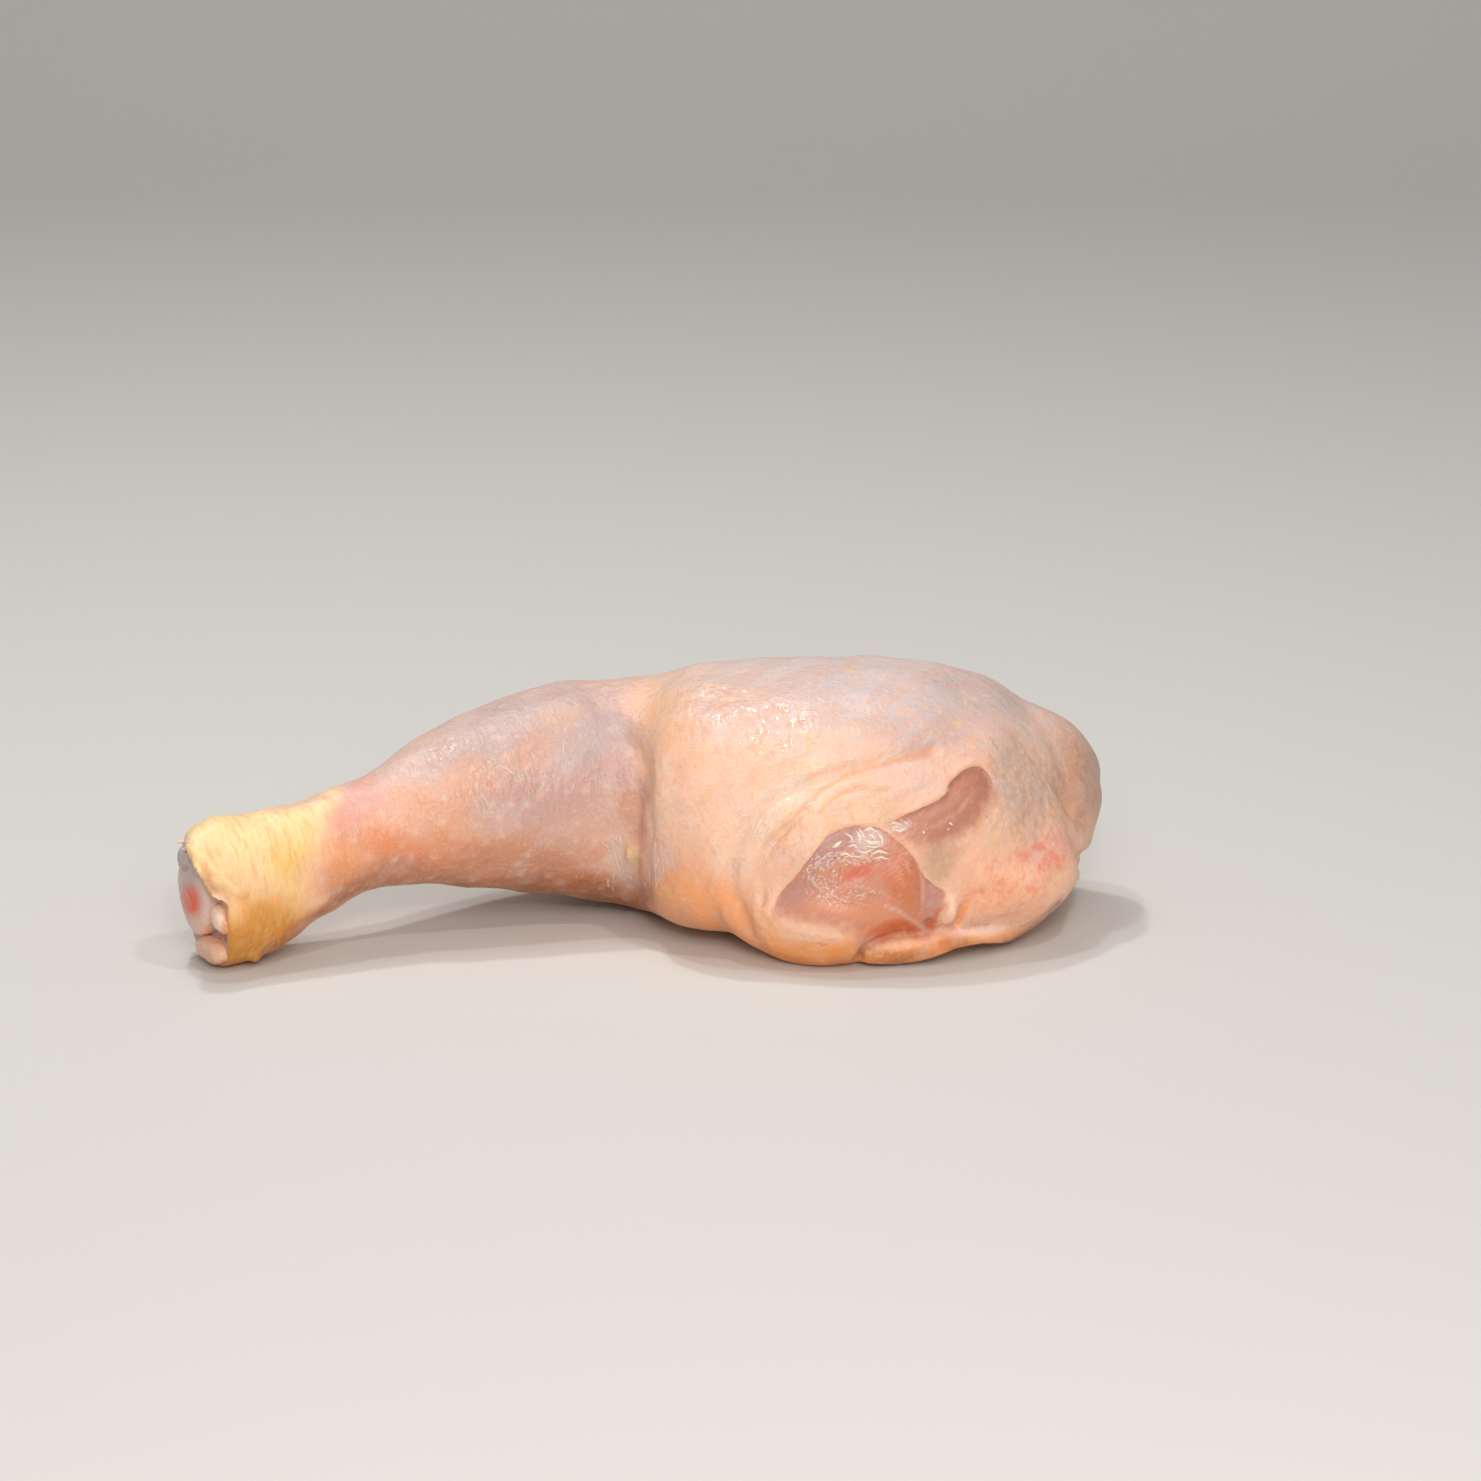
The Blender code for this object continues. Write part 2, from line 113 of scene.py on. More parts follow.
# Creases on the front: depth at the start and the end, width, and the line that they follow. A depth
# below 0 is a ridge.
CREASES = (
    (0.6, 1.7, 2.3, ((-14.7, 66.5), (-9.4, 59.8), (-4.8, 54.3), (-0.7, 48), (0.9, 36), (-0.2, 11))),
    (0.1, 0.9, 0.8, ((0.4, 46), (0.9, 41), (1, 34), (1.3, 30), (0.6, 24), (0.4, 15))),
    (0.9, 1.3, 1.6, ((24.2, 8.1), (20.7, 19.6), (24.2, 31.1), (34.5, 40.2), (50.6, 46), (66.7, 49.5))),
    (1.2, 0.8, 1.2, ((30, 28), (36, 34.5), (41.5, 40), (48, 43.8), (57, 46.6), (68, 49.6))),
    (0.7, 0.9, 1, ((41, 35), (46, 39.3), (51, 40.5), (57, 40.3))),
    (0.6, 0.9, 1.2, ((28, 13.8), (27.5, 21.9), (33, 30.2), (38.5, 35))),
    (0.2, 0.9, 1.8, ((14, 24), (15.2, 16), (19.5, 5.5))),
    (0.3, 1.3, 2.2, ((22.8, 15), (24.5, 8), (27.5, 2))),
    (2, 0.8, 0.9, ((50.2, 1), (51.6, 3.6), (54, 5.2), (57.2, 6.2), (61, 6.9), (66, 7))),
    (1.8, 0.2, 0.8, ((66.6, 9.6), (67.2, 7.6), (69, 8.2), (71.5, 8.7), (76, 8.8), (80, 9.3))),
    (0.4, 2.2, 0.8, ((74.8, 14.5), (74.2, 12), (72.6, 9))),
    (0.6, 0.9, 1, ((64.9, 21), (65.2, 17), (65, 13))),
    (2.2, 0.3, 1.6, ((103, 23.5), (100.7, 28.8), (97.5, 35))),
    (0.3, 2.2, 1.3, ((93.5, 53.5), (97.5, 45), (100, 38), (103, 33))),
    (-0.8, -0.9, 0.9,
     ((-102.6, 25.8), (-100, 24.1), (-98.2, 21.8), (-95.8, 19.9), (-93.4, 17.4), (-91, 16.2))),
    (0.8, 0.9, 1.5, ((-101.4, 22.6), (-99, 19.6), (-96.8, 17.2), (-94.6, 15.4))),
    (0.4, 0.5, 1.3, ((-94, 13), (-90, 15.2), (-84, 15.6), (-79, 13.5))),
)
# Creases on the side away from the front, as paths through space: depth and width, and the path.
HIP_CREASES = (
    (3, 1.6, ((97, 25, 37), (100, 30, 25), (102.5, 40, 15.5), (102, 50, 12.5), (98, 60, 11))),
    (2.4, 5.5, ((98, 32, 7.5), (102, 46, 8.5), (97, 60, 7.5))),
    (1, 1.6, ((88, 76, 30), (92, 72, 20), (92, 66, 10))),
)

# Where the skin has torn off the thigh: the outlines of a crescent and of a wider gap below it.
CRESCENT = (
    (56.6, 32.2), (60, 34), (64, 35.7), (68, 37.6), (70.4, 39.3), (71.2, 41.6),
    (73, 43.5), (75.4, 45.2), (78, 45.7), (80.2, 43.6), (81.4, 40.6), (80.6, 36.8),
    (78, 33.6), (75, 30.8), (71.5, 28.6), (67.5, 27), (64, 27.4), (61, 29),
    (58.5, 30.9),
)
GAP = (
    (30.3, 12.6), (32.6, 16.8), (35.6, 20), (38.2, 23.4), (40.8, 26.6), (43, 29.6),
    (46.5, 31.3), (50.5, 32), (55.5, 31.2), (59, 28.6), (61.8, 26), (63.8, 23.2),
    (65.2, 20.4), (67.5, 18.4), (70.2, 16.4), (70.2, 13.4), (68.6, 10.6), (67.4, 7.6),
    (65, 6.9), (60.5, 7), (57, 6), (53.6, 5), (50.8, 4), (47.5, 8),
    (40, 9.6), (34, 10.8),
)
# How deep each lies, and how far the muscle swells up again in the crescent.
CRESCENT_DEPTH = 0.7
GAP_DEPTH = 0.42
CRESCENT_SWELL = 0.9
# How far inside a tear's outline its crisp upper edge begins and ends, the same for its soft lower edge,
# and the share of the depth that the soft one has.
CRISP_EDGE = (-0.35, 0.5)
SOFT_EDGE = (-2.0, 3.0)
SOFT_SHARE = 0.35
# The lip above the crescent: how high it is, how far outside the outline, and its width.
LIP = (0.2, 0.9, 0.7)

# What swells on the front: the middle, the half sizes, the turn in degrees and the height. The first
# list is muscle, and shows only in the tears.
MUSCLE_SWELLS = (
    ((47, 20), (22, 15), 30, 0.9),
    ((60.6, 17.6), (5.6, 9.6), -4, 1.5),
    ((52, 11.5), (15, 3.4), -4, 0.4),
)
SKIN_SWELLS = (
    ((71.5, 12.6), (2.6, 4.8), -10, 1.8),
    ((-1.9, 25.3), (2, 3), 10, 1.5),
    ((2.2, 24.5), (2, 5), 0, 0.5),
    ((86.5, 18.5), (12.5, 7.5), 14, 1.3),
    ((81, 12.6), (9, 4.2), 10, 0.9),
    ((63, 3.8), (13, 3.2), 6, 0.7),
    ((79, 6.6), (9.5, 2.4), 6, 0.9),
    ((-88, 1.6), (3.4, 2), 0, 0.9),
    ((-92, 27), (9, 7), 10, 0.8),
    ((-88, 9.5), (7.5, 6), 10, 0.6),
    ((57, 40), (14, 4.5), 14, 0.6),
    ((40, 44), (10, 4), 30, 0.5),
    ((88, 38), (9, 12), 10, 0.6),
)
# The same along the outline, on the far side too.
OUTLINE_SWELLS = (
    ((103.6, 22.4), (4.6, 4.4), 0, -1.5),
    ((103.4, 25.3), (3.4, 1.5), 25, -1.1),
    ((-97.5, 33.5), (10, 6), 12, 1.8),
    ((-74, 9), (6, 4), 30, -1),
    ((-88.6, 1), (1.8, 1.6), 0, 0.6),
    ((-86.2, 1.4), (1.6, 1.6), 0, -1),
)
# The unevenness of the whole skin: how high and about how long its waves are, and their random seed.
LUMP_HEIGHT = 0.25
LUMP_LENGTH = 13.0
LUMP_SEED = 5

# What runs into the flesh from the cut, from its first to its last cross-section: how far across, how
# far forward and up of the leg's middle there, and its half sizes up and forward.
BONE = (
    (-100.5, -1.4, 1.6, 3, 2.2),
    (-100.4, -1.4, 1.6, 5.4, 4.1),
    (-100, -1.3, 1.6, 8.4, 6.3),
    (-99.2, -1.5, 1.5, 10.3, 7.3),
    (-97.4, -1.5, 1.5, 10.8, 7.5),
    (-93, -1.2, 1.2, 8.8, 7.4),
    (-83, -0.4, 0.8, 6, 5.2),
    (-68, 0, 0.5, 3.9, 3.7),
    (-40, 0, 0.5, 4.2, 4),
    (-22, 0, 0.5, 7, 6.6),
    (-12, 0, 0.5, 8, 7.4),
    (-8, 0, 0.5, 5, 4.6),
)
MARROW = (
    (-100.42, -2.8, -0.2, 2, 1.8),
    (-100.38, -2.8, -0.2, 4, 3.7),
    (-97, -2.6, 0, 3.7, 3.4),
    (-87, -0.8, 0.8, 2.6, 2.4),
    (-66, 0, 0.5, 2, 1.9),
    (-24, 0, 0.5, 1.4, 1.4),
)
HEEL_TENDON = (
    (-99.9, 1.4, -11.5, 1.4, 2.8),
    (-99.6, 1.4, -11.5, 2.3, 4.8),
    (-98.6, 1.4, -11.6, 2.9, 6.1),
    (-96.5, 1.4, -11.6, 3, 6.3),
    (-87, 0.6, -11.5, 2.2, 3.2),
    (-64, 0, -8.4, 1.2, 1.4),
)
SIDE_TENDON = (
    (-99.3, 7.6, -2.5, 1, 1.5),
    (-99, 7.6, -2.5, 1.9, 2.8),
    (-98.2, 7.7, -2.6, 2.5, 3.8),
    (-96, 7.8, -2.7, 2.6, 3.9),
    (-87, 7.6, -2, 1.8, 2),
    (-76, 7, -1, 1, 1),
)
SHIN_TENDON = (
    (-100.1, -5, 8.2, 1.4, 0.9),
    (-99.9, -5, 8.2, 2.4, 1.5),
    (-99.2, -5.2, 8.2, 3.2, 2.2),
    (-96, -6.4, 9, 2.6, 2),
    (-89, -7, 9.6, 1.3, 1.2),
    (-76, -5.2, 8.2, 0.9, 0.9),
)
# How many degrees these ovals lean: the upper end of a leaning one lies forward.
LEANS = {"shin_bone_end": 15, "side_sinew": 39}
# The pocket beside the bone: how far forward and up of the cut's middle, its half sizes and its depth.
POCKET = (4.8, -6, 3.2, 3, 3)

# The cuff of skin that hangs over the upper front of the cut: how far at each height over the cut's
# middle, and how far up the leg it starts.
CUFF = ((1.6, 0), (4.2, 3.6), (7.2, 4), (11.5, 4.9), (13.9, 4.3), (15.5, 3))
CUFF_REACH = 11.0
# The face of the cut: its half sizes forward and up, how far its middle lies low, and how deep it is sunk.
FACE_HALVES = (11.9, 15.1)
FACE_DROP = 0.3
FACE_DEPTH = 0.5
# Where the sunk part begins and is full: as shares of the half sizes, and behind the cut.
FACE_SUNK = (0.96, 0.88)
FACE_BEHIND = (2.0, 0.5)
# The same for the colour of the cut. Its rim is a share of the half sizes too, and lies further out low
# on the far side.
FACE_RIM = 0.95
FAR_RIM = 0.12
FACE_COLOURED = (6.0, 5.0)
# Grid of the flesh before the skin's own, and how often each stage is smoothed.
FLESH_VOXEL = 1.6
FLESH_SMOOTHING = 14
SKIN_SMOOTHING = 6
RIM_SMOOTHING = 3

# Towards the viewer, and up in the plane that the front is laid out in.
BACK = np.array((0, -math.cos(LEAN), math.sin(LEAN)))
UP = np.array((0, math.sin(LEAN), math.cos(LEAN)))
# How squarely the skin faces the front where its details show in full, and where its tears begin.
FULLY_FACING = 0.35
TEARS_SHOWN = 0.3


def smoothstep(low, high, value):
    t = np.clip((value - low) / (high - low), 0, 1)
    return t * t * (3 - 2 * t)


def seen(points):
    """Where points show from the front, as millimetres across and up from the foot of the plane."""
    centre = np.array(VIEW_CENTRE)
    rays = points - centre
    nearness = VIEW_DISTANCE / (VIEW_DISTANCE - rays @ BACK)
    return np.stack([centre[0] + rays[:, 0] * nearness, centre @ UP + rays @ UP * nearness], axis=1)


def facing(normals):
    """1 on the side that shows from the front, falling to 0 where the surface turns away."""
    return smoothstep(0.0, FULLY_FACING, normals @ BACK)


def spline_rows(rows, steps, measured=2):
    """The rows of a smooth curve through these rows, with so many steps from each to the next.

    Its speed goes by the gaps between the rows in their first columns."""
    rows = np.array(rows, float)
    gaps = np.linalg.norm(np.diff(rows[:, :measured], axis=0), axis=1)
    slopes = np.gradient(rows, np.concatenate([[0], np.cumsum(gaps)]), axis=0)
    found = []
    for i, gap in enumerate(gaps):
        for t in np.arange(steps) / steps:
            found.append(
                (2 * t**3 - 3 * t**2 + 1) * rows[i]
                + (t**3 - 2 * t**2 + t) * gap * slopes[i]
                + (3 * t**2 - 2 * t**3) * rows[i + 1]
                + (t**3 - t**2) * gap * slopes[i + 1]
            )
    return np.array(found + [rows[-1]])


def beside(points, start, end):
    """How far each point lies from a straight piece, and how far along it, from 0 to 1, it is nearest."""
    run = end - start
    t = np.clip((points - start) @ run / (run @ run), 0, 1)
    return np.linalg.norm(points - start - t[:, None] * run, axis=1), t


def from_line(points, path):
    """How far each point lies from a path of straight pieces, in the plane or in space."""
    line = np.array(path)
    return np.min([beside(points, start, end)[0] for start, end in zip(line, line[1:])], axis=0)


def crease(places, start, end, width, path):
    """How deep a crease is at each place: its depth changes evenly along its smooth path."""
    line = spline_rows([(*point, k / (len(path) - 1)) for k, point in enumerate(path)], 8)
    nearest = np.full(len(places), np.inf)
    along = np.zeros(len(places))
    for first, second in zip(line, line[1:]):
        away, t = beside(places, first[:2], second[:2])
        closer = away < nearest
        nearest[closer] = away[closer]
        along[closer] = first[2] + t[closer] * (second[2] - first[2])
    return (start + (end - start) * along) * np.exp(-((nearest / width) ** 2))


def inside_outline(places, outline):
    """How far inside a smooth closed outline each place lies, and below 0 outside."""
    line = spline_rows((*outline, outline[0]), 6)
    away = np.full(len(places), np.inf)
    crossings = np.zeros(len(places), int)
    for start, end in zip(line, line[1:]):
        away = np.minimum(away, beside(places, start, end)[0])
        run = end - start
        if run[1] == 0:
            continue
        spans = (start[1] > places[:, 1]) != (end[1] > places[:, 1])
        left_of = places[:, 0] < start[0] + (places[:, 1] - start[1]) * run[0] / run[1]
        crossings += spans & left_of
    return np.where(crossings % 2 == 1, away, -away)


def inside_tears(places):
    """How far inside the crescent or the gap each place lies, in millimetres, and below 0 outside."""
    return np.maximum(inside_outline(places, CRESCENT), inside_outline(places, GAP))


def across_oval(places, middle, halves, turn):
    """How far from the middle of a turned oval each place lies: 1 on its edge."""
    turned = math.radians(turn)
    offset = places - middle
    long = offset[:, 0] * math.cos(turned) + offset[:, 1] * math.sin(turned)
    short = offset[:, 1] * math.cos(turned) - offset[:, 0] * math.sin(turned)
    return np.hypot(long / halves[0], short / halves[1])


def swells(places, table):
    """How far the swells of a table raise each place."""
    return sum(height * smoothstep(1, 0, across_oval(places, *oval)) for *oval, height in table)


def lumps(points, seed, length, waves=9):
    """A smooth unevenness from a few waves in fixed directions, between about -1 and 1."""
    draw = np.random.default_rng(seed)
    height = np.zeros(len(points))
    for _ in range(waves):
        direction = draw.normal(size=3)
        direction /= np.linalg.norm(direction)
        wave = length * draw.uniform(0.7, 1.5)
        height += np.sin(points @ direction * 2 * math.pi / wave + draw.uniform(0, 2 * math.pi))
    return height / math.sqrt(waves)


def frame_of(along):
    """The forward and upward directions of a cross-section square to this direction."""
    along = along / np.linalg.norm(along)
    forward = np.cross(along, (0, 0, 1))
    forward /= np.linalg.norm(forward)
    return forward, np.cross(forward, along)


def spine():
    """The cross-sections of the flesh in small steps, and the direction of each."""
    rows = spline_rows(SECTIONS, 6)
    return rows, np.gradient(rows[:, :3], axis=0)


def spine_at(across):
    """The middle of the flesh where the leg has come this far across, and its direction there."""
    rows, runs = spine()
    return [np.array([np.interp(across, rows[:, 0], each[:, k]) for k in range(3)]) for each in (rows, runs)]


def flesh_ring(row, along, count=64):
    """The outline of the flesh at one row of its cross-sections."""
    up, down, front, back, squareness = row[3:]
    forward, upward = frame_of(along)
    points = []
    for turn in np.arange(count) * 2 * math.pi / count:
        side, lift = math.cos(turn), math.sin(turn)
        power = 2 / squareness if lift < 0 else 1.0
        side = math.copysign(abs(side) ** power, side) * (front if side > 0 else back)
        lift = math.copysign(abs(lift) ** power, lift) * (up if lift > 0 else down)
        points.append(row[:3] + forward * side + upward * lift)
    return points


def oval_ring(centre, along, half_up, half_forward, count, lean=0.0):
    forward, upward = frame_of(along)
    turned = math.radians(lean)
    long = (forward * math.cos(turned) - upward * math.sin(turned)) * half_forward
    tall = (forward * math.sin(turned) + upward * math.cos(turned)) * half_up
    turns = [2 * math.pi * k / count for k in range(count)]
    return [centre + long * math.cos(a) + tall * math.sin(a) for a in turns]


# Meshes


def bridged(rings):
    """A closed bmesh through rings that have as many points each."""
    bm = bmesh.new()
    rings = [[bm.verts.new(p) for p in ring] for ring in rings]
    count = len(rings[0])
    for one, other in zip(rings, rings[1:]):
        for k in range(count):
            n = (k + 1) % count
            bm.faces.new((one[k], one[n], other[n], other[k]))
    bm.faces.new(rings[0])
    bm.faces.new(rings[-1][::-1])
    bmesh.ops.recalc_face_normals(bm, faces=bm.faces)
    return bm


def new_object(name, bm):
    mesh = bpy.data.meshes.new(name)
    bm.to_mesh(mesh)
    bm.free()
    made = bpy.data.objects.new(name, mesh)
    bpy.context.scene.collection.objects.link(made)
    return made


def apply_modifiers(thing):
    """Makes what the modifiers of an object show its own mesh."""
    graph = bpy.context.evaluated_depsgraph_get()
    evaluated = thing.evaluated_get(graph)
    finished = bpy.data.meshes.new_from_object(evaluated, preserve_all_data_layers=True, depsgraph=graph)
    thing.modifiers.clear()
    old = thing.data
    thing.data = finished
    bpy.data.meshes.remove(old)


def fuse(thing, voxel, smoothing):
    """Makes overlapping shapes one skin, and softens where they meet."""
    remesh = thing.modifiers.new("fuse", "REMESH")
    remesh.mode = "VOXEL"
    remesh.voxel_size = voxel
    soften = thing.modifiers.new("soften", "SMOOTH")
    soften.iterations = smoothing
    apply_modifiers(thing)


def shape_of(mesh):
    """The points of a mesh and its direction at each."""
    found = []
    for values, name in ((mesh.vertices, "co"), (mesh.vertex_normals, "vector")):
        flat = np.zeros(len(mesh.vertices) * 3)
        values.foreach_get(name, flat)
        found.append(flat.reshape(-1, 3))
    return found


def move_points(mesh, points):
    mesh.vertices.foreach_set("co", points.ravel())
    mesh.update()


def mark(mesh, name, values):
    """Keeps a number or a colour for each point of a mesh, for its material to read."""
    if values.ndim == 1:
        mesh.attributes.new(name, "FLOAT", "POINT").data.foreach_set("value", values)
        return
    opaque = np.concatenate([values, np.ones((len(values), 1))], axis=1)
    mesh.attributes.new(name, "FLOAT_COLOR", "POINT").data.foreach_set("color", opaque.ravel())


def placed(thing):
    """Brings a mesh from the leg's own frame to the model, and shades it smooth."""
    thing.data.transform(Matrix.Scale(MM, 4) @ Matrix.Translation(-LEG_MIDDLE))
    thing.data.shade_smooth()
    return thing


def finish_piece(piece, slot, *nodes):
    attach(piece, "root")
    if nodes:
        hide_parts(*nodes)


# Node trees


def arithmetic(operation, reflected=False):
    """A method that adds a Math node with two inputs."""

    def method(self, other):
        one, two = (other, self) if reflected else (self, other)
        return self.tree.add("ShaderNodeMath", {"operation": operation}, {0: one, 1: two})

    return method


class Wire:
    """An output in a node tree. Arithmetic on it adds Math nodes."""

    def __init__(self, tree, socket):
        self.tree = tree
        self.socket = socket

    __add__ = __radd__ = arithmetic("ADD")
    __sub__ = arithmetic("SUBTRACT")
    __rsub__ = arithmetic("SUBTRACT", reflected=True)
    __mul__ = __rmul__ = arithmetic("MULTIPLY")
    __truediv__ = arithmetic("DIVIDE")
    __rtruediv__ = arithmetic("DIVIDE", reflected=True)

    def swing(self, size):
        """A noise as a swing of this size about 0."""
        return (self - 0.5) * size


class Tree:
    """A node tree that is written as expressions."""

    def __init__(self, nodes, links):
        self.nodes = nodes
        self.links = links

    def add(self, kind, settings=None, sockets=None, output=0):
        node = self.nodes.new(kind)
        for name, value in (settings or {}).items():
            setattr(node, name, value)
        for key, value in (sockets or {}).items():
            if isinstance(value, Wire):
                self.links.new(value.socket, node.inputs[key])
            else:
                node.inputs[key].default_value = value
        return Wire(self, node.outputs[output])

    def ramp(self, value, low, high):
        """0 below low, 1 above high and smooth between them. It falls where high is the lower."""
        ends = {1: low, 2: high, 3: 0.0, 4: 1.0} if low < high else {1: high, 2: low, 3: 1.0, 4: 0.0}
        return self.add("ShaderNodeMapRange", {"interpolation_type": "SMOOTHSTEP"}, {0: value, **ends})

    def mix(self, factor, one, other):
        sockets = {0: factor}
        for key, colour in ((6, one), (7, other)):
            sockets[key] = colour if isinstance(colour, Wire) else (*colour, 1.0)
        return self.add("ShaderNodeMix", {"data_type": "RGBA"}, sockets, 2)

    def layered(self, colour, *layers):
        """Colours laid over one another: each layer follows a value from low to high, with a strength."""
        for value, low, high, strength, over in layers:
            colour = self.mix(self.ramp(value, low, high) * strength, colour, over)
        return colour

    def scaled(self, vector, size):
        return self.add("ShaderNodeVectorMath", {"operation": "SCALE"}, {0: vector, 3: size})

    def noise(self, coordinates, scale, detail=2.0, roughness=0.5):
        sockets = {"Vector": coordinates, "Scale": scale, "Detail": detail, "Roughness": roughness}
        return self.add("ShaderNodeTexNoise", {}, sockets)

    def streaks(self, coordinates, turn, scale, detail, roughness=0.5):
        """A noise drawn out along an axis: its coordinates are turned in degrees and then scaled."""
        sockets = {0: coordinates, 4: [math.radians(a) for a in turn]}
        turned = self.add("ShaderNodeVectorRotate", {"rotation_type": "EULER_XYZ"}, sockets)
        drawn = self.add("ShaderNodeVectorMath", {"operation": "MULTIPLY"}, {0: turned, 1: scale})
        return self.noise(drawn, 1.0, detail, roughness)

    def attribute(self, name, output=2):
        return self.add("ShaderNodeAttribute", {"attribute_name": name}, {}, output)

    def named(self, name):
        """A number that the points of a geometry carry."""
        return self.add("GeometryNodeInputNamedAttribute", {"data_type": "FLOAT"}, {"Name": name})


def geometry_group(name, *inputs):
    """An empty geometry node group, its tree, and a wire from its geometry, each input and its material."""
    group = bpy.data.node_groups.new(name, "GeometryNodeTree")
    group.interface.new_socket("Geometry", in_out="OUTPUT", socket_type="NodeSocketGeometry")
    inputs = (("Geometry", "Geometry"), *inputs, ("Material", "Material"))
    for label, kind in inputs:
        group.interface.new_socket(label, in_out="INPUT", socket_type="NodeSocket" + kind)
    tree = Tree(group.nodes, group.links)
    given = group.nodes.new("NodeGroupInput")
    return group, tree, [Wire(tree, socket) for socket in given.outputs[: len(inputs)]]


def end_group(group, tree, geometry, material):
    """Ends a geometry node group: what it made is realised and gets its material."""
    real = tree.add("GeometryNodeRealizeInstances", {}, {0: geometry})
    dressed = tree.add("GeometryNodeSetMaterial", {}, {"Geometry": real, "Material": material})
    tree.links.new(dressed.socket, group.nodes.new("NodeGroupOutput").inputs[0])
    return group


def grow(thing, group, **values):
    """Runs a geometry node tree on an object, and makes the result its mesh."""
    modifier = thing.modifiers.new(group.name, "NODES")
    modifier.node_group = group
    for item in group.interface.items_tree:
        if item.in_out == "INPUT" and item.name in values:
            modifier[item.identifier] = values[item.name]
    apply_modifiers(thing)


def shader(name, subsurface, radius_mm):
    """A new material, its tree, its Principled shader and its coordinates in millimetres."""
    material = bpy.data.materials.new(name)
    material.use_nodes = True
    tree = Tree(material.node_tree.nodes, material.node_tree.links)
    surface = material.node_tree.nodes["Principled BSDF"]
    surface.inputs["Subsurface Weight"].default_value = subsurface
    surface.inputs["Subsurface Radius"].default_value = (1.0, 0.4, 0.25)
    surface.inputs["Subsurface Scale"].default_value = radius_mm * MM
    return material, tree, surface, tree.scaled(tree.add("ShaderNodeTexCoord", output=3), 1 / MM)


def wire_surface(tree, surface, colour, roughness, height):
    """Colour, roughness, and a height in millimetres as bump."""
    bump = tree.add("ShaderNodeBump", {}, {"Distance": MM, "Height": height})
    for name, wire in (("Base Color", colour), ("Roughness", roughness), ("Normal", bump)):
        tree.links.new(wire.socket, surface.inputs[name])


# Properties


def tint(label, about, default):
    return FloatVectorProperty(
        name=label, description=about, default=default, subtype="COLOR", size=3, min=0.0, max=1.0
    )


def length_property(label, about, default):
    return FloatProperty(
        name=label, description=about, default=default, unit="LENGTH", subtype="DISTANCE", min=0.0
    )


def power_property(label, about, default):
    return FloatProperty(name=label, description=about, default=default, unit="POWER", min=0.0)


# Skin

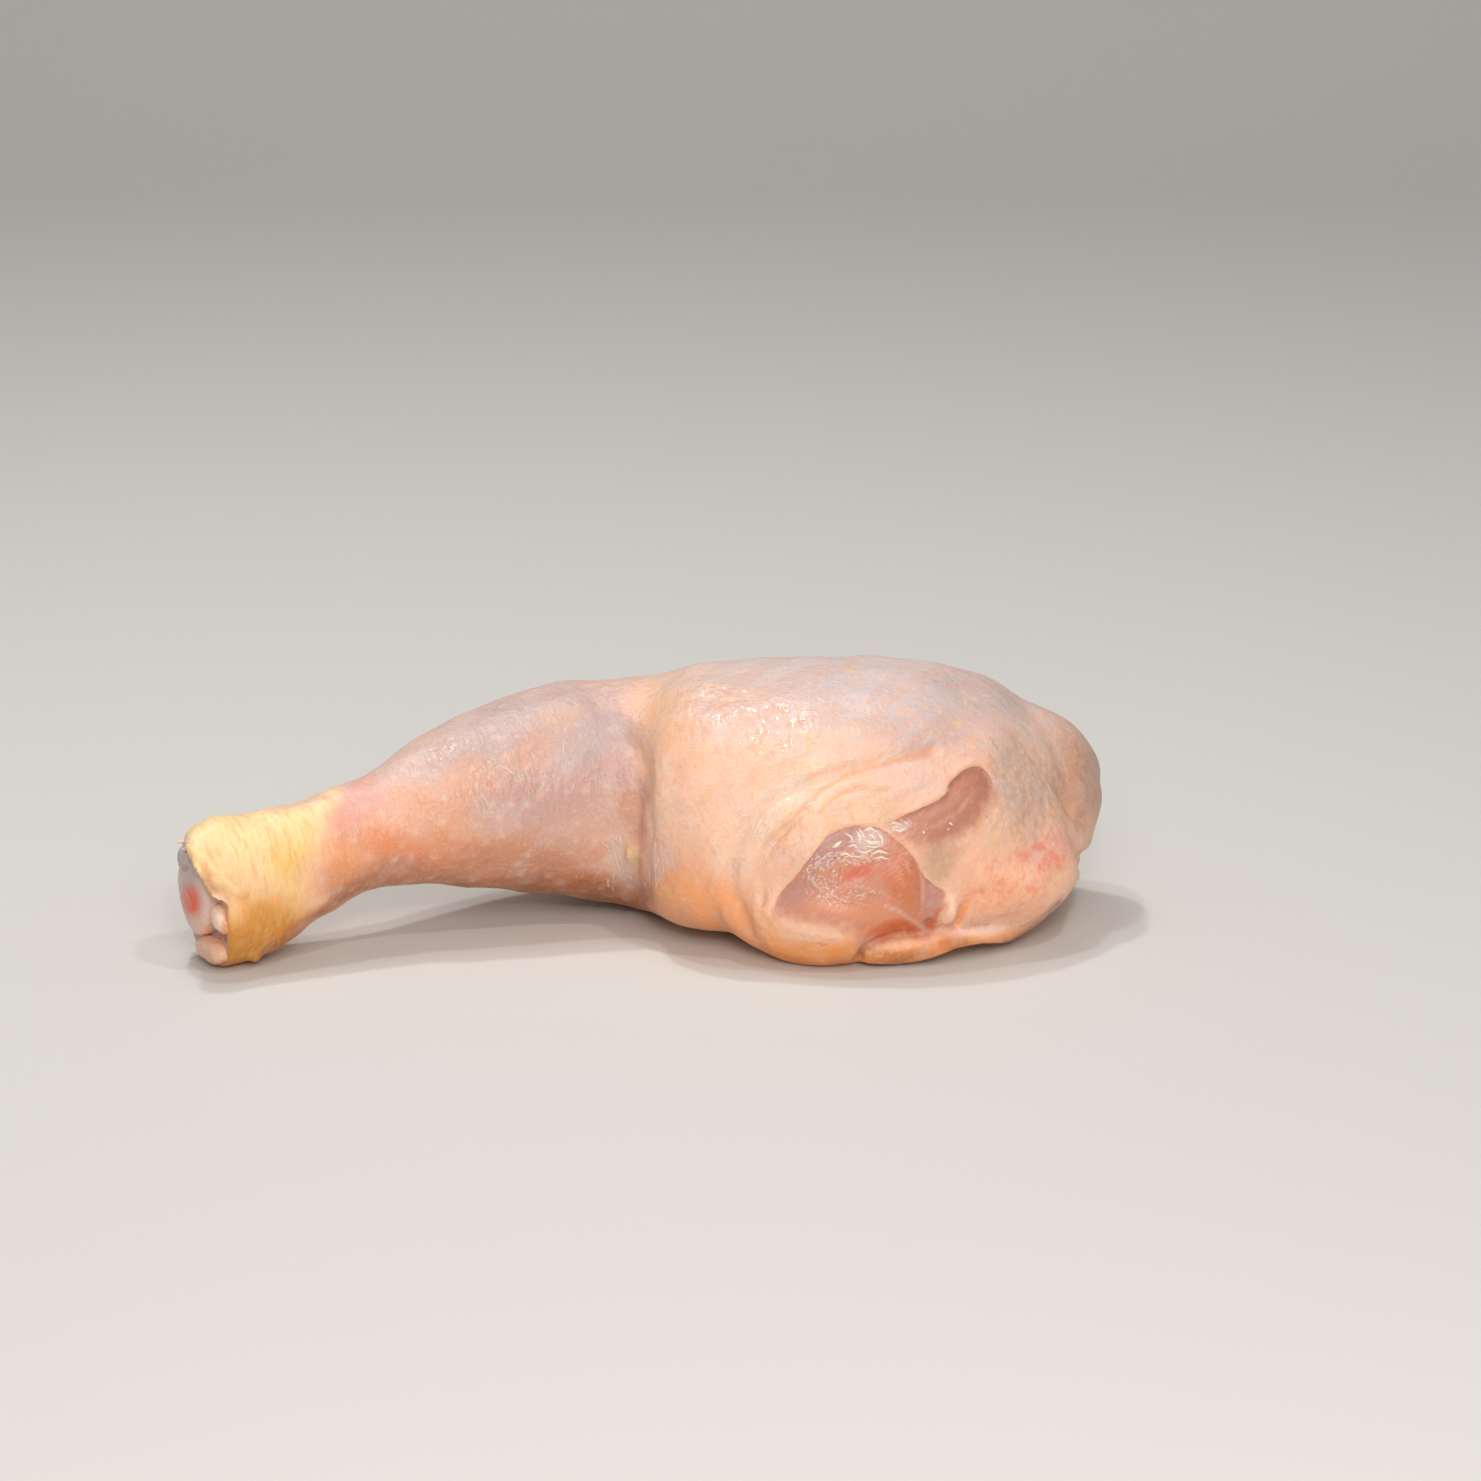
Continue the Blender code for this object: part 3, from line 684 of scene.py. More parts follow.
# Where the skin has which colour: its name, the middle and the half sizes of an oval on the front, its
# turn in degrees, and how strong it is. Later ones lie over earlier ones.
SKIN_PATCHES = (
    ("pale", (53, 71), (74, 28), -2, 1),
    ("haze", (76, 62), (20, 9), -12, 0.8),
    ("pale", (-30, 63), (34, 14), 24, 0.6),
    ("mauve", (-22, 44), (40, 28), 20, 0.95),
    ("mauve", (-8, 50), (14, 24), 20, 0.6),
    ("rosy", (-57, 43), (24, 9), 24, 0.9),
    ("pink", (-67, 36), (18, 9), 16, 0.8),
    ("coral", (-66, 26), (13, 12), 10, 0.5),
    ("tan", (-70, 22), (10, 11), 10, 0.5),
    ("salmon", (-48, 35), (14, 8), -5, 0.7),
    ("salmon", (-42, 27), (22, 8), -5, 0.6),
    ("coral", (-56, 27), (13, 6), -18, 1),
    ("coral", (-48, 27), (18, 8), -8, 0.5),
    # rust-brown skin under the drumstick, partly painted shade
    ("rust_and_shade", (-58, 21), (20, 6), 3, 0.8),
    ("rust_and_shade", (-25, 21), (40, 13), -3, 0.75),
    # painted shade: the skin darkened low on the drumstick, towards the board
    ("painted_shade", (-30, 13.5), (50, 9.5), -3, 0.95),
    ("painted_shade", (-10, 14.6), (20, 9), -6, 0.95),
    ("painted_shade", (-68, 15), (18, 5), 30, 0.9),
    ("blue", (-35, 53), (28, 9), 22, 0.6),
    ("blue", (-22, 60), (18, 5), 14, 0.4),
    ("blue", (-15, 51.5), (11, 8.5), 0, 0.85),
    ("blue", (-8, 55.5), (6.5, 11), 35, 0.7),
    ("apricot", (-18, 57.5), (13, 4), 10, 0.3),
    ("salmon", (-24, 49.5), (14, 6), 15, 0.35),
    ("salmon", (-39, 42.5), (14, 7), 15, 0.4),
    ("rust_and_shade", (-1.8, 36), (4.6, 9), 0, 0.5),
    ("apricot", (7, 57), (14, 9), -35, 0.75),
    ("apricot", (5, 48), (8, 12), 0, 0.6),
    # painted light: brightens the right wall of the knee crease, which lies in shade
    ("cream_and_painted_light", (5.2, 38), (4.4, 15), 0, 0.6),
    ("rosy", (20, 57), (18, 9), -10, 0.5),
    ("cream_and_painted_light", (37, 39), (18, 8), 35, 0.9),
    ("cream_and_painted_light", (24, 29), (10, 15), -30, 0.6),
    ("haze", (66, 53.5), (19, 8), -4, 0.65),
    ("rosy", (63, 44), (16, 7), 12, 0.6),
    ("apricot", (49, 35), (12, 4), 10, 0.7),
    ("tan", (16, 13), (22, 12), -32, 0.75),
    ("apricot", (38, 7), (16, 6), -6, 0.4),
    ("tan", (39, 2), (26, 6.4), -6, 1),
    # painted shade low on the front of the thigh
    ("painted_shade", (20, 4.5), (12, 2.6), -30, 0.5),
    ("olive", (87, 44), (13, 16), 10, 0.7),
    ("brown", (103, 44), (13, 20), 10, 0.9),
    ("haze", (90, 57), (18, 8), -35, 0.5),
    ("pad", (85, 17), (20, 15), 14, 1),
    ("salmon", (80, 15.5), (12, 7.5), 10, 0.6),
    ("rose", (94, 26), (10, 7), 10, 0.8),
    ("tan", (72, 3.4), (28, 4.6), 7, 1),
    # painted shade on the lower side of the lip
    ("lip_underside_shade", (60, 1.6), (11, 2.4), 3, 0.9),
    ("lip_underside_shade", (72.5, 5.2), (8, 2), 14, 0.9),
    ("blush", (80, 8.4), (14, 2.2), 6, 1),
    ("pad", (61, 4.8), (9, 2.6), 5, 0.6),
    ("fat", (69, 23.5), (7, 9.5), -10, 1),
    ("apricot", (80, 31), (5, 8), -15, 0.7),
    ("blush", (71.5, 12.5), (3.4, 6.5), -8, 1),
    ("white", (-3.8, 23), (4.4, 10), 10, 0.7),
    ("white", (3.2, 24), (3.8, 9), -8, 0.7),
    ("butter", (-1.9, 25.3), (2.2, 3.2), 10, 1),
)
# The same on the yellow skin of the hock.
HOCK_PATCHES = (
    ("rosy", (-80, 38.5), (10, 4.5), 14, 0.9),
    ("apricot", (-97.5, 24.5), (8, 5), -50, 0.3),
    ("apricot", (-90, 18.5), (12, 4.5), 10, 0.5),
    ("gold", (-80, 23.5), (8, 8), 0, 0.8),
    ("ochre", (-87, 4.4), (28, 15.5), 14, 0.92),
    ("sand", (-98.6, 19), (6.6, 2.7), -52, 1),
    ("blush", (-97.4, 14.6), (2.6, 1.6), -20, 0.8),
    ("apricot", (-75, 20), (6, 12), 10, 0.5),
    # painted shade along the bottom of the hock
    ("painted_shade", (-80, 5), (18, 4.5), 40, 0.9),
)
# The same on the face of the cut.
FACE_PATCHES = (
    ("violet", (-97.6, 8.2), (2.6, 3.2), 0, 1),
    ("slit", (-99.1, 8.6), (0.9, 3.2), 0, 1),
)
# Lines on the skin: the name of the colour, half the width, the strength and the path.
SKIN_LINES = (
    # painted shade down the knee crease
    ("seam", 1.1, 0.55, ((0.6, 42), (0.9, 36), (1, 31))),
    ("seam", 1, 0.45, ((0.8, 31), (0.6, 24), (0.8, 16))),
    ("coral", 0.5, 0.6, ((-63, 32), (-60, 30.6), (-57, 28.6))),
    ("tan", 0.5, 0.5, ((36, 34.5), (41.5, 40), (48, 43.8), (57, 46.6), (68, 49.6))),
    ("tan", 0.5, 0.5, ((41, 35), (46, 39.3), (51, 40.5), (57, 40.3))),
    ("apricot", 1.2, 0.7, ((43.5, 31.8), (46, 33.2), (50, 33.3), (54, 33), (56.5, 33.3))),
    # painted shade in the crease along the top of the lip
    ("painted_shade", 0.8, 0.9, ((50.2, 1.2), (51.6, 3.6), (54, 4.9), (57, 6), (61, 6.8), (66, 6.8))),
    # painted shade in the crease above the lip
    ("rust_and_shade", 0.5, 0.6, ((66.6, 9.6), (67.2, 7.8), (69, 8.3), (71.5, 8.7), (76, 8.8), (80, 9.3))),
    ("tan", 0.8, 1, ((74.8, 14.2), (74.2, 11.8), (72.8, 9.2))),
    ("meat", 1, 1, ((84.5, 4.9), (87, 6), (91, 8.6), (94, 11.4), (96.5, 14))),
    ("yolk", 0.8, 1, ((-102.6, 25.8), (-100, 24.1), (-98.2, 21.8), (-95.8, 19.9), (-93.4, 17.4))),
    ("rust_and_shade", 0.8, 0.7, ((-95.6, 11), (-95.3, 8), (-95.6, 4), (-95.6, 0))),
)
# The same for the muscle that is bared in the tears.
MUSCLE_PATCHES = (
    ("crescent", (71, 36), (17, 13), 40, 1),
    # darker muscle at the crescent's upper end, partly painted shade under its edge
    ("dark_and_shade", (78.3, 42.4), (6, 6.4), 0, 1),
    ("grey", (44, 27.5), (8, 6), 40, 0.9),
    ("grey", (36, 17), (8, 5), 45, 0.6),
    ("red", (50, 20.6), (6.6, 3.6), 8, 1),
    ("orange", (60.8, 17.5), (6.2, 11), -4, 1),
    ("red", (58, 22), (3.4, 5), -10, 0.4),
    ("light", (50, 12.4), (17, 3.6), -4, 0.8),
    # painted shade on the muscle under the lip
    ("band_shade", (58.2, 8), (11, 3.6), 3, 1),
    ("grey", (67.6, 14.5), (3.4, 6), -10, 0.6),
    ("light", (60.5, 27), (5, 2.6), -50, 0.6),
    # painted shade in the hollow at the gap's upper left
    ("dark_and_shade", (45.6, 28.4), (5.4, 2.6), 32, 0.5),
    ("film", (52.8, 29.4), (5.6, 3.4), 0, 0.65),
    ("film", (59.4, 31.6), (4.6, 2.2), 15, 0.5),
)
MUSCLE_LINES = (
    ("light", 0.6, 0.8, ((50.6, 6.6), (52.6, 8.9), (56, 10.8), (60, 11.2), (63.4, 10), (66, 7.8))),
    ("film", 0.38, 0.5, ((56.5, 13.6), (59.6, 12.4), (63.2, 9.9), (66.2, 7.4))),
    # painted shade along the gap's lower right edge
    ("band_shade", 0.6, 1, ((68.8, 12.6), (67.6, 10.6), (66.9, 8.2))),
    ("film", 0.35, 0.45, ((60.5, 29), (62.8, 26.4), (64.3, 23.2), (65, 19.5), (64.9, 15))),
    # painted shade where the orange bulge falls away on its right
    ("dark_and_shade", 0.7, 0.6, ((65.8, 20), (66, 16), (65.8, 12))),
)
# The upper and the lower end of the edge of the hock's yellow skin.
HOCK_EDGE = ((-71.3, 40.2), (-78.2, 5.8))
# How far past that edge the yellow ends, and how far before it is full.
HOCK_FADE = (4.5, -3.5)
# How far the edges of the patches waver, over what length.
WARP = 0.9
WARP_LENGTH = 9.0
WARP_SEEDS = (21, 22)
# The bloodshot spot of the bared muscle: folds of the film run round it, in ovals this flat.
BLOODSHOT = (49.4, 20.4)
SPOT_FLATNESS = (1.0, 1.5)
# Where the film starts round that spot, and is whole.
SPOT_CLEAR = (2.0, 5.0)
# Going towards the hock: where the drumstick's skin begins and is whole.
DRUMSTICK_EDGE = (6.0, -4.0)
# Going down the drumstick: where its follicles come in and are full, and their share above that.
FOLLICLES_FULL = (46.0, 36.0)
FOLLICLES_LEAST = 0.4
# How far outside the tears the skin counts, at the least, where it turns away from the front.
UNTORN = -3.0
# Patches that are narrower than this don't show on the back.
SMALL_PATCH = 6.2


class SkinSettings(bpy.types.PropertyGroup):
    """Sizes and colours of the skin."""

    voxel: length_property("Grain", "Size of the grid that the skin is remade on", 0.75e-3)
    follicle_spacing: length_property("Follicle spacing", "Least distance between feather follicles", 3.6e-3)
    follicle_width: length_property("Follicle width", "How wide a feather follicle is", 3.2e-3)
    follicle_height: length_property("Follicle height", "How far a feather follicle stands out", 0.12e-3)
    follicle_seed: IntProperty(name="Follicle seed", description="Where the follicles fall", default=3, min=0)
    peach: tint("Peach", "Skin on the front of the thigh", (0.88, 0.54, 0.38))
    pale: tint("Pale", "Thin skin along the top", (0.66, 0.55, 0.54))
    mauve: tint("Mauve", "Skin that shows the muscle of the drumstick", (0.57, 0.36, 0.32))
    blue: tint("Blue", "Veins and sinew under thin skin", (0.52, 0.41, 0.40))
    pink: tint("Pink", "Skin at the neck of the drumstick", (0.80, 0.37, 0.30))
    rosy: tint("Rosy", "Pale flushed skin", (0.76, 0.52, 0.45))
    salmon: tint("Salmon", "Lightly flushed skin", (0.80, 0.39, 0.22))
    meat: tint("Meat", "Edge of the meat under the flap", (0.28, 0.06, 0.03))
    coral: tint("Coral", "Flushed skin", (0.80, 0.30, 0.145))
    # Rust-brown skin; under the drumstick and in creases also painted shade
    rust_and_shade: tint("Rust", "Skin under the drumstick", (0.55, 0.23, 0.13))
    apricot: tint("Apricot", "Skin over fat", (0.84, 0.50, 0.30))
    tan: tint("Tan", "Skin low on the thigh", (0.92, 0.35, 0.085))
    olive: tint("Olive", "Skin beside the crescent", (0.49, 0.38, 0.335))
    brown: tint("Brown", "Skin at the hip", (0.47, 0.27, 0.19))
    pad: tint("Pad", "Skin of the flap", (0.98, 0.54, 0.36))
    rose: tint("Rose", "Sore skin of the flap", (0.82, 0.37, 0.29))
    fat: tint("Fat", "Bare fat", (0.66, 0.42, 0.275))
    white: tint("White", "Wrinkled skin in the knee", (0.76, 0.56, 0.50))
    # Bright cream skin; at the knee crease also painted light
    cream_and_painted_light: tint("Cream", "Bright skin above the gap", (0.92, 0.66, 0.48))
    # Painted shade on the lip's lower side
    lip_underside_shade: tint("Russet", "Lower side of the lip", (0.58, 0.20, 0.05))
    haze: tint("Haze", "Greyish skin along the top", (0.52, 0.42, 0.41))
    butter: tint("Butter", "Lump of fat in the knee", (0.76, 0.55, 0.27))
    blush: tint("Blush", "Pale puffy folds of the flap", (0.98, 0.66, 0.50))
    # Painted shade: skin darkened low on the leg and in the crease along the lip
    painted_shade: tint("Umber", "Skin in the shade of the board", (0.44, 0.15, 0.055))
    # Painted shade in the knee crease
    seam: tint("Seam", "Bottom of the knee crease", (0.38, 0.165, 0.13))
    yolk: tint("Yellow", "Upper side of the hock", (0.99, 0.69, 0.35))
    sand: tint("Sand", "Sunken skin beside the cut", (0.62, 0.34, 0.16))
    gold: tint("Gold", "Deep yellow streaks on the hock", (0.86, 0.54, 0.14))
    ochre: tint("Ochre", "Lower side of the hock", (0.62, 0.24, 0.014))
    speck: tint("Specks", "Small spots of fat under the skin", (0.86, 0.58, 0.22))
    violet: tint("Violet", "Bottom of the pocket in the cut", (0.34, 0.24, 0.26))
    slit: tint("Slit", "Blood in the cut", (0.36, 0.12, 0.05))
    cut: tint("Cut", "Flesh of the cut at the hock", (0.66, 0.38, 0.27))
    blood: tint("Blood", "Bloodshot spots of the flap", (0.80, 0.19, 0.10))
    straw: tint("Straw", "Pale ridges on the hock", (0.90, 0.72, 0.42))


class MuscleSettings(bpy.types.PropertyGroup):
    """Colours of the muscle that the tears bare."""

    muscle: tint("Muscle", "Bared muscle", (0.64, 0.28, 0.18))
    crescent: tint("Crescent", "Muscle in the crescent", (0.53, 0.225, 0.148))
    # Darker muscle, and painted shade in hollows and under edges
    dark_and_shade: tint("Dark", "Deep muscle", (0.46, 0.19, 0.12))
    grey: tint("Grey", "Muscle under a thick film", (0.50, 0.28, 0.25))
    red: tint("Red", "Blood under the film", (0.64, 0.155, 0.08))
    orange: tint("Orange", "Fatty muscle", (0.62, 0.20, 0.085))
    light: tint("Light", "Muscle under a white film", (0.70, 0.28, 0.155))
    # Painted shade: muscle darkened where the lip shades it
    band_shade: tint("Band", "Muscle in the shade of the lip", (0.60, 0.115, 0.018))
    film: tint("Film", "White film over the muscle", (0.80, 0.62, 0.56))
    fibre: tint("Fibre", "Pale fibres of the muscle", (0.78, 0.52, 0.44))
    haze: tint("Haze", "Thin uneven film over the muscle", (0.84, 0.62, 0.56))
    fold: tint("Fold", "Fine folds of the film", (0.94, 0.74, 0.66))
    flush: tint("Flush", "Redder blotches of the muscle", (0.60, 0.20, 0.12))
    shade: tint("Shade", "Muscle beside the edge of the skin", (0.36, 0.13, 0.08))


def blend(colours, share, over):
    """Colours drawn towards others, by a share for each place."""
    return colours + share[:, None] * (np.array(over) - colours)


def painted(places, base, patches, settings, shown=1.0):
    """A colour for each place, from soft ovals laid over each other. Small ones lie on the front only."""
    colours = np.tile(np.array(base), (len(places), 1))
    for name, middle, halves, turn, strength in patches:
        share = strength * smoothstep(1.0, 0.25, across_oval(places, middle, halves, turn))
        if min(halves) < SMALL_PATCH:
            share *= shown
        colours = blend(colours, share, getattr(settings, name))
    return colours


def lined(places, colours, lines, settings, shown):
    """The same colours with soft lines drawn over them on the front."""
    for name, width, strength, path in lines:
        share = strength * shown * np.exp(-((from_line(places, path) / width) ** 2))
        colours = blend(colours, share, getattr(settings, name))
    return colours


def hock_share(places):
    """1 on the yellow skin of the hock."""
    (top_across, top_up), (low_across, low_up) = HOCK_EDGE
    edge = low_across + (top_across - low_across) * (places[:, 1] - low_up) / (top_up - low_up)
    return smoothstep(*HOCK_FADE, places[:, 0] - edge)


def skin_colours(places, settings, shown=1.0):
    """The colour of the skin at each place, of the hock too."""
    skin = painted(places, settings.peach, SKIN_PATCHES, settings, shown)
    hock = painted(places, settings.yolk, HOCK_PATCHES, settings, shown)
    return blend(skin, hock_share(places), hock)


def leg_shape(voxel):
    """The whole leg without its relief, cut off at the hock, as a grid of small faces."""
    bm = bridged([flesh_ring(row, run) for row, run in zip(*spine())])
    for middle, halves, (lift, swing) in BULGES:
        leaning = Matrix.Rotation(math.radians(lift), 4, "Y")
        turned = Matrix.Rotation(math.radians(swing), 4, "Z") @ leaning
        place = Matrix.Translation(middle) @ turned @ Matrix.Diagonal((*halves, 1))
        bmesh.ops.create_uvsphere(bm, u_segments=32, v_segments=20, radius=1, matrix=place)
    leg = new_object("leg_skin", bm)
    fuse(leg, FLESH_VOXEL, FLESH_SMOOTHING)
    rows = spline_rows(FLAP_ROLL, 4)
    runs = np.gradient(rows[:, :3], axis=0)
    bm = bridged([oval_ring(row[:3], run, row[3], row[3], 16) for row, run in zip(rows, runs)])
    bm.from_mesh(leg.data)
    middle, along = spine_at(HOCK_CUT)
    everything = [*bm.verts, *bm.edges, *bm.faces]
    cut = bmesh.ops.bisect_plane(bm, geom=everything, plane_co=middle, plane_no=-along, clear_outer=True)
    bmesh.ops.contextual_create(bm, geom=[e for e in cut["geom_cut"] if isinstance(e, bmesh.types.BMEdge)])
    bmesh.ops.recalc_face_normals(bm, faces=bm.faces)
    bm.to_mesh(leg.data)
    bm.free()
    fuse(leg, voxel, SKIN_SMOOTHING)
    return leg


def edge_above(places):
    """1 where the nearest edge of a tear lies above, and 0 where it lies below."""
    step = 0.4
    up = np.array((0, step))
    fall = (inside_tears(places - up) - inside_tears(places + up)) / (2 * step)
    return smoothstep(-0.35, 0.55, fall)


def relief(points, normals):
    """How far out the skin or the muscle stands at each point."""
    places = seen(points)
    inside, inside_crescent = inside_tears(places), inside_outline(places, CRESCENT)
    above = edge_above(places)
    height = swells(places, SKIN_SWELLS) - sum(crease(places, *row) for row in CREASES)
    # an edge above is crisp, with a lip at the crescent; an edge below fades into the skin
    deep = smoothstep(-3.0, 0.0, inside_crescent)
    depth = GAP_DEPTH + (CRESCENT_DEPTH - GAP_DEPTH) * deep
    crisp, soft = smoothstep(*CRISP_EDGE, inside), SOFT_SHARE * smoothstep(*SOFT_EDGE, inside)
    height -= depth * (soft + above * (crisp - soft))
    lip, outside, width = LIP
    height += above * deep * lip * np.exp(-(((inside + outside) / width) ** 2))
    height += CRESCENT_SWELL * smoothstep(0, 3.6, inside_crescent)
    height += swells(places, MUSCLE_SWELLS) * smoothstep(0, 1, inside)
    height = height * facing(normals) + swells(places, OUTLINE_SWELLS)
    for depth, width, path in HIP_CREASES:
        height -= depth * np.exp(-((from_line(points, path) / width) ** 2))
    return height + LUMP_HEIGHT * lumps(points, LUMP_SEED, LUMP_LENGTH)


def underside(points):
    """The height of the leg's underside: on the board, and above it near the front edge of the flap."""
    across, lift = np.array(FLAP_LIFT).T
    return np.interp(points[:, 0], across, lift) * smoothstep(*FLAP_REACH, points[:, 1])


def on_cut(points):
    """How far behind the cut each point lies, how far forward and up of its middle, and how near the rim."""
    middle, along = spine_at(HOCK_CUT)
    forward, upward = frame_of(along)
    offset = points - middle
    forward_by, up_by = offset @ forward, offset @ upward
    from_middle = np.hypot(forward_by / FACE_HALVES[0], (up_by + FACE_DROP) / FACE_HALVES[1])
    return offset @ (along / np.linalg.norm(along)), forward_by, up_by, from_middle


def trim_hock(points):
    """Draws the cuff of skin over the cut, sinks the face behind its rim, and opens the pocket in it."""
    behind, forward_by, up_by, from_middle = on_cut(points)
    in_face = smoothstep(*FACE_SUNK, from_middle) * smoothstep(*FACE_BEHIND, behind)
    pulled = np.interp(up_by, *np.array(CUFF).T) * smoothstep(-6.0, 3.0, forward_by)
    pulled *= smoothstep(CUFF_REACH, 0.0, behind) * (1 - in_face)
    side, lift, half_side, half_lift, depth = POCKET
    pocket = np.hypot((forward_by - side) / half_side, (up_by - lift) / half_lift)
    sunk = in_face * (FACE_DEPTH + depth * smoothstep(1.3, 0.3, pocket))
    along = spine_at(HOCK_CUT)[1]
    return points + along / np.linalg.norm(along) * (sunk - pulled)[:, None]


def follicle_tree():
    """Geometry nodes that scatter small soft bumps over a surface, as far as its follicles value says."""
    numbers = (("Spacing", "Float"), ("Width", "Float"), ("Height", "Float"), ("Seed", "Int"))
    group, tree, (geometry, spacing, width, height, seed, material) = geometry_group("follicles", *numbers)
    share = tree.named("follicles")
    scattered = tree.add(
        "GeometryNodeDistributePointsOnFaces",
        {"distribute_method": "POISSON"},
        {
            "Mesh": geometry,
            "Distance Min": spacing,
            "Density Max": 4.0 / (spacing * spacing),
            "Density Factor": share,
            "Seed": seed,
        },
    )
    distance = tree.add("GeometryNodeProximity", {"target_element": "POINTS"}, {0: scattered}, 1)
    rise = tree.ramp(distance / width, 0.5, 0.0) * tree.ramp(share, 0.0, 0.3)
    kept = tree.add(
        "GeometryNodeStoreNamedAttribute",
        {"data_type": "FLOAT", "domain": "POINT"},
        {"Geometry": geometry, "Name": "follicle", "Value": rise},
    )
    offset = tree.scaled(tree.add("GeometryNodeInputNormal"), rise * height)
    moved = tree.add("GeometryNodeSetPosition", {}, {"Geometry": kept, "Offset": offset})
    return end_group(group, tree, moved, material)


def skin_material(skin, meat):
    """The skin of thigh, drumstick and hock, and bared muscle with its film where a tear is."""
    material, tree, surface, place = shader("chicken skin", 0.25, 1.4)
    zone, muscle = tree.attribute("skin_colour", 0), tree.attribute("muscle_colour", 0)
    tear, above, leg, hock = [tree.attribute(name) for name in ("tear", "edge_above", "drumstick", "hock")]
    moist, filmed, smooth, pebbled, sore = [tree.attribute(name) for name in COVERS]
    follicle, from_spot = tree.attribute("follicle"), tree.attribute("from_spot")
    thigh = (1 - leg) * (1 - hock)

    coarse = tree.noise(place, 0.16, 3.0)
    middle = tree.noise(place, 0.42, 3.0)
    fine = tree.noise(place, 1.3, 3.0)
    grain = tree.noise(place, 3.0)
    soft = 4.0 - above * 3.8
    ragged = tear + middle.swing(1.3) * soft + fine.swing(0.4)
    bare = tree.ramp(ragged / soft, -0.6, 0.6)

    # folds follow the outlines of the tears, arcs run round the bloodshot spot, and rings round the leg
    across, up = [tree.add("ShaderNodeSeparateXYZ", {}, {0: place}, k) for k in (0, 2)]

    def bands(distance, size):
        return tree.add("ShaderNodeCombineXYZ", {}, {0: distance, 1: across * size, 2: up * size})

    folds = tree.noise(bands(tear * 0.8 + middle.swing(1.2), 0.16), 0.4, 1.5, 0.4)
    arcs = tree.noise(bands(from_spot * 0.8 + middle.swing(5.0), 0.28), 1.0)
    rings = tree.streaks(place, (0, 0, -30), (1.0, 0.2, 0.2), 2.0, 0.6)
    cracks = tree.streaks(place, (0, 0, -30), (0.75, 0.2, 0.2), 2.0)
    waves = tree.streaks(place, (0, 14, 0), (0.46, 0.26, 0.22), 1.0)
    fibres = tree.streaks(place, (0, 40, 0), (0.35, 0.9, 1.6), 3.0, 0.6)
    film = tree.noise(place, 0.75, 4.0, 0.7)
    blotches = tree.noise(place, 0.24, 4.0, 0.6)
    wet = tree.ramp(tree.noise(place, 0.36), 0.475, 0.57) * moist * (1 - bare)
    cells = {"Vector": place, "Scale": 0.55, "Smoothness": 0.3}
    pebble = tree.add("ShaderNodeTexVoronoi", {"feature": "SMOOTH_F1"}, cells)

    colour = tree.layered(
        zone,
        (coarse, 0.46, 0.70, 0.22, skin.pale),
        (blotches, 0.48, 0.66, thigh * 0.34, skin.apricot),
        (blotches, 0.50, 0.36, thigh * 0.22, skin.rosy),
        (middle, 0.54, 0.75, 0.26, skin.coral),
        (fine, 0.52, 0.75, 0.3, skin.cream_and_painted_light),
        (folds, 0.52, 0.38, thigh * 0.15, skin.coral),
        (grain, 0.55, 0.35, 0.09, skin.rust_and_shade),
        (coarse, 0.36, 0.62, follicle * 0.34, skin.cream_and_painted_light),
        (tree.noise(place, 0.36, 1.0), 0.67, 0.74, thigh * 0.45, skin.speck),
        (tree.noise(place, 0.40, 3.0), 0.45, 0.66, sore * 0.6, skin.blood),
        (pebble, 0.30, 0.75, pebbled * 0.3, skin.brown),
    )
    sallow = tree.layered(zone, (cracks, 0.52, 0.7, 0.36, skin.tan), (cracks, 0.5, 0.34, 0.14, skin.straw))
    colour = tree.mix(hock, colour, sallow)
    colour = tree.layered(colour, (ragged, -1.1, -0.1, above * 0.35, skin.salmon))
    bared = tree.layered(
        muscle,
        (fibres, 0.45, 0.75, 0.2, meat.fibre),
        (film, 0.35, 0.7, tree.ramp(filmed, 0.6, 1.0) * 0.6, meat.haze),
        (arcs, 0.54, 0.66, filmed * 0.5, meat.fold),
        (middle, 0.5, 0.75, 0.2, meat.flush),
        (ragged, 1.1, 0.0, above * 0.1, meat.shade),
    )

    roughness = 0.40 + fine.swing(0.15) * (1 - wet) - wet * 0.24 - bare * (0.08 + filmed * 0.15)
    height = middle.swing(0.40) + fine.swing(0.15) + grain.swing(0.03)
    height += folds.swing(1.0) * tree.ramp(tear, -24.0, -6.0) * thigh * (1 - smooth)
    height += rings.swing(0.2) * leg + cracks.swing(0.34) * hock - pebble * 0.15 * pebbled
    height = height * (1 - wet * 0.6) + waves.swing(0.2 + wet * 0.66)
    bared_height = fibres.swing(0.2) + film.swing(0.3) * moist + arcs.swing(1.1) * filmed
    height += bare * (bared_height - height) - bare * above * 0.1
    wire_surface(tree, surface, tree.mix(bare, colour, bared), roughness, height)
    return material


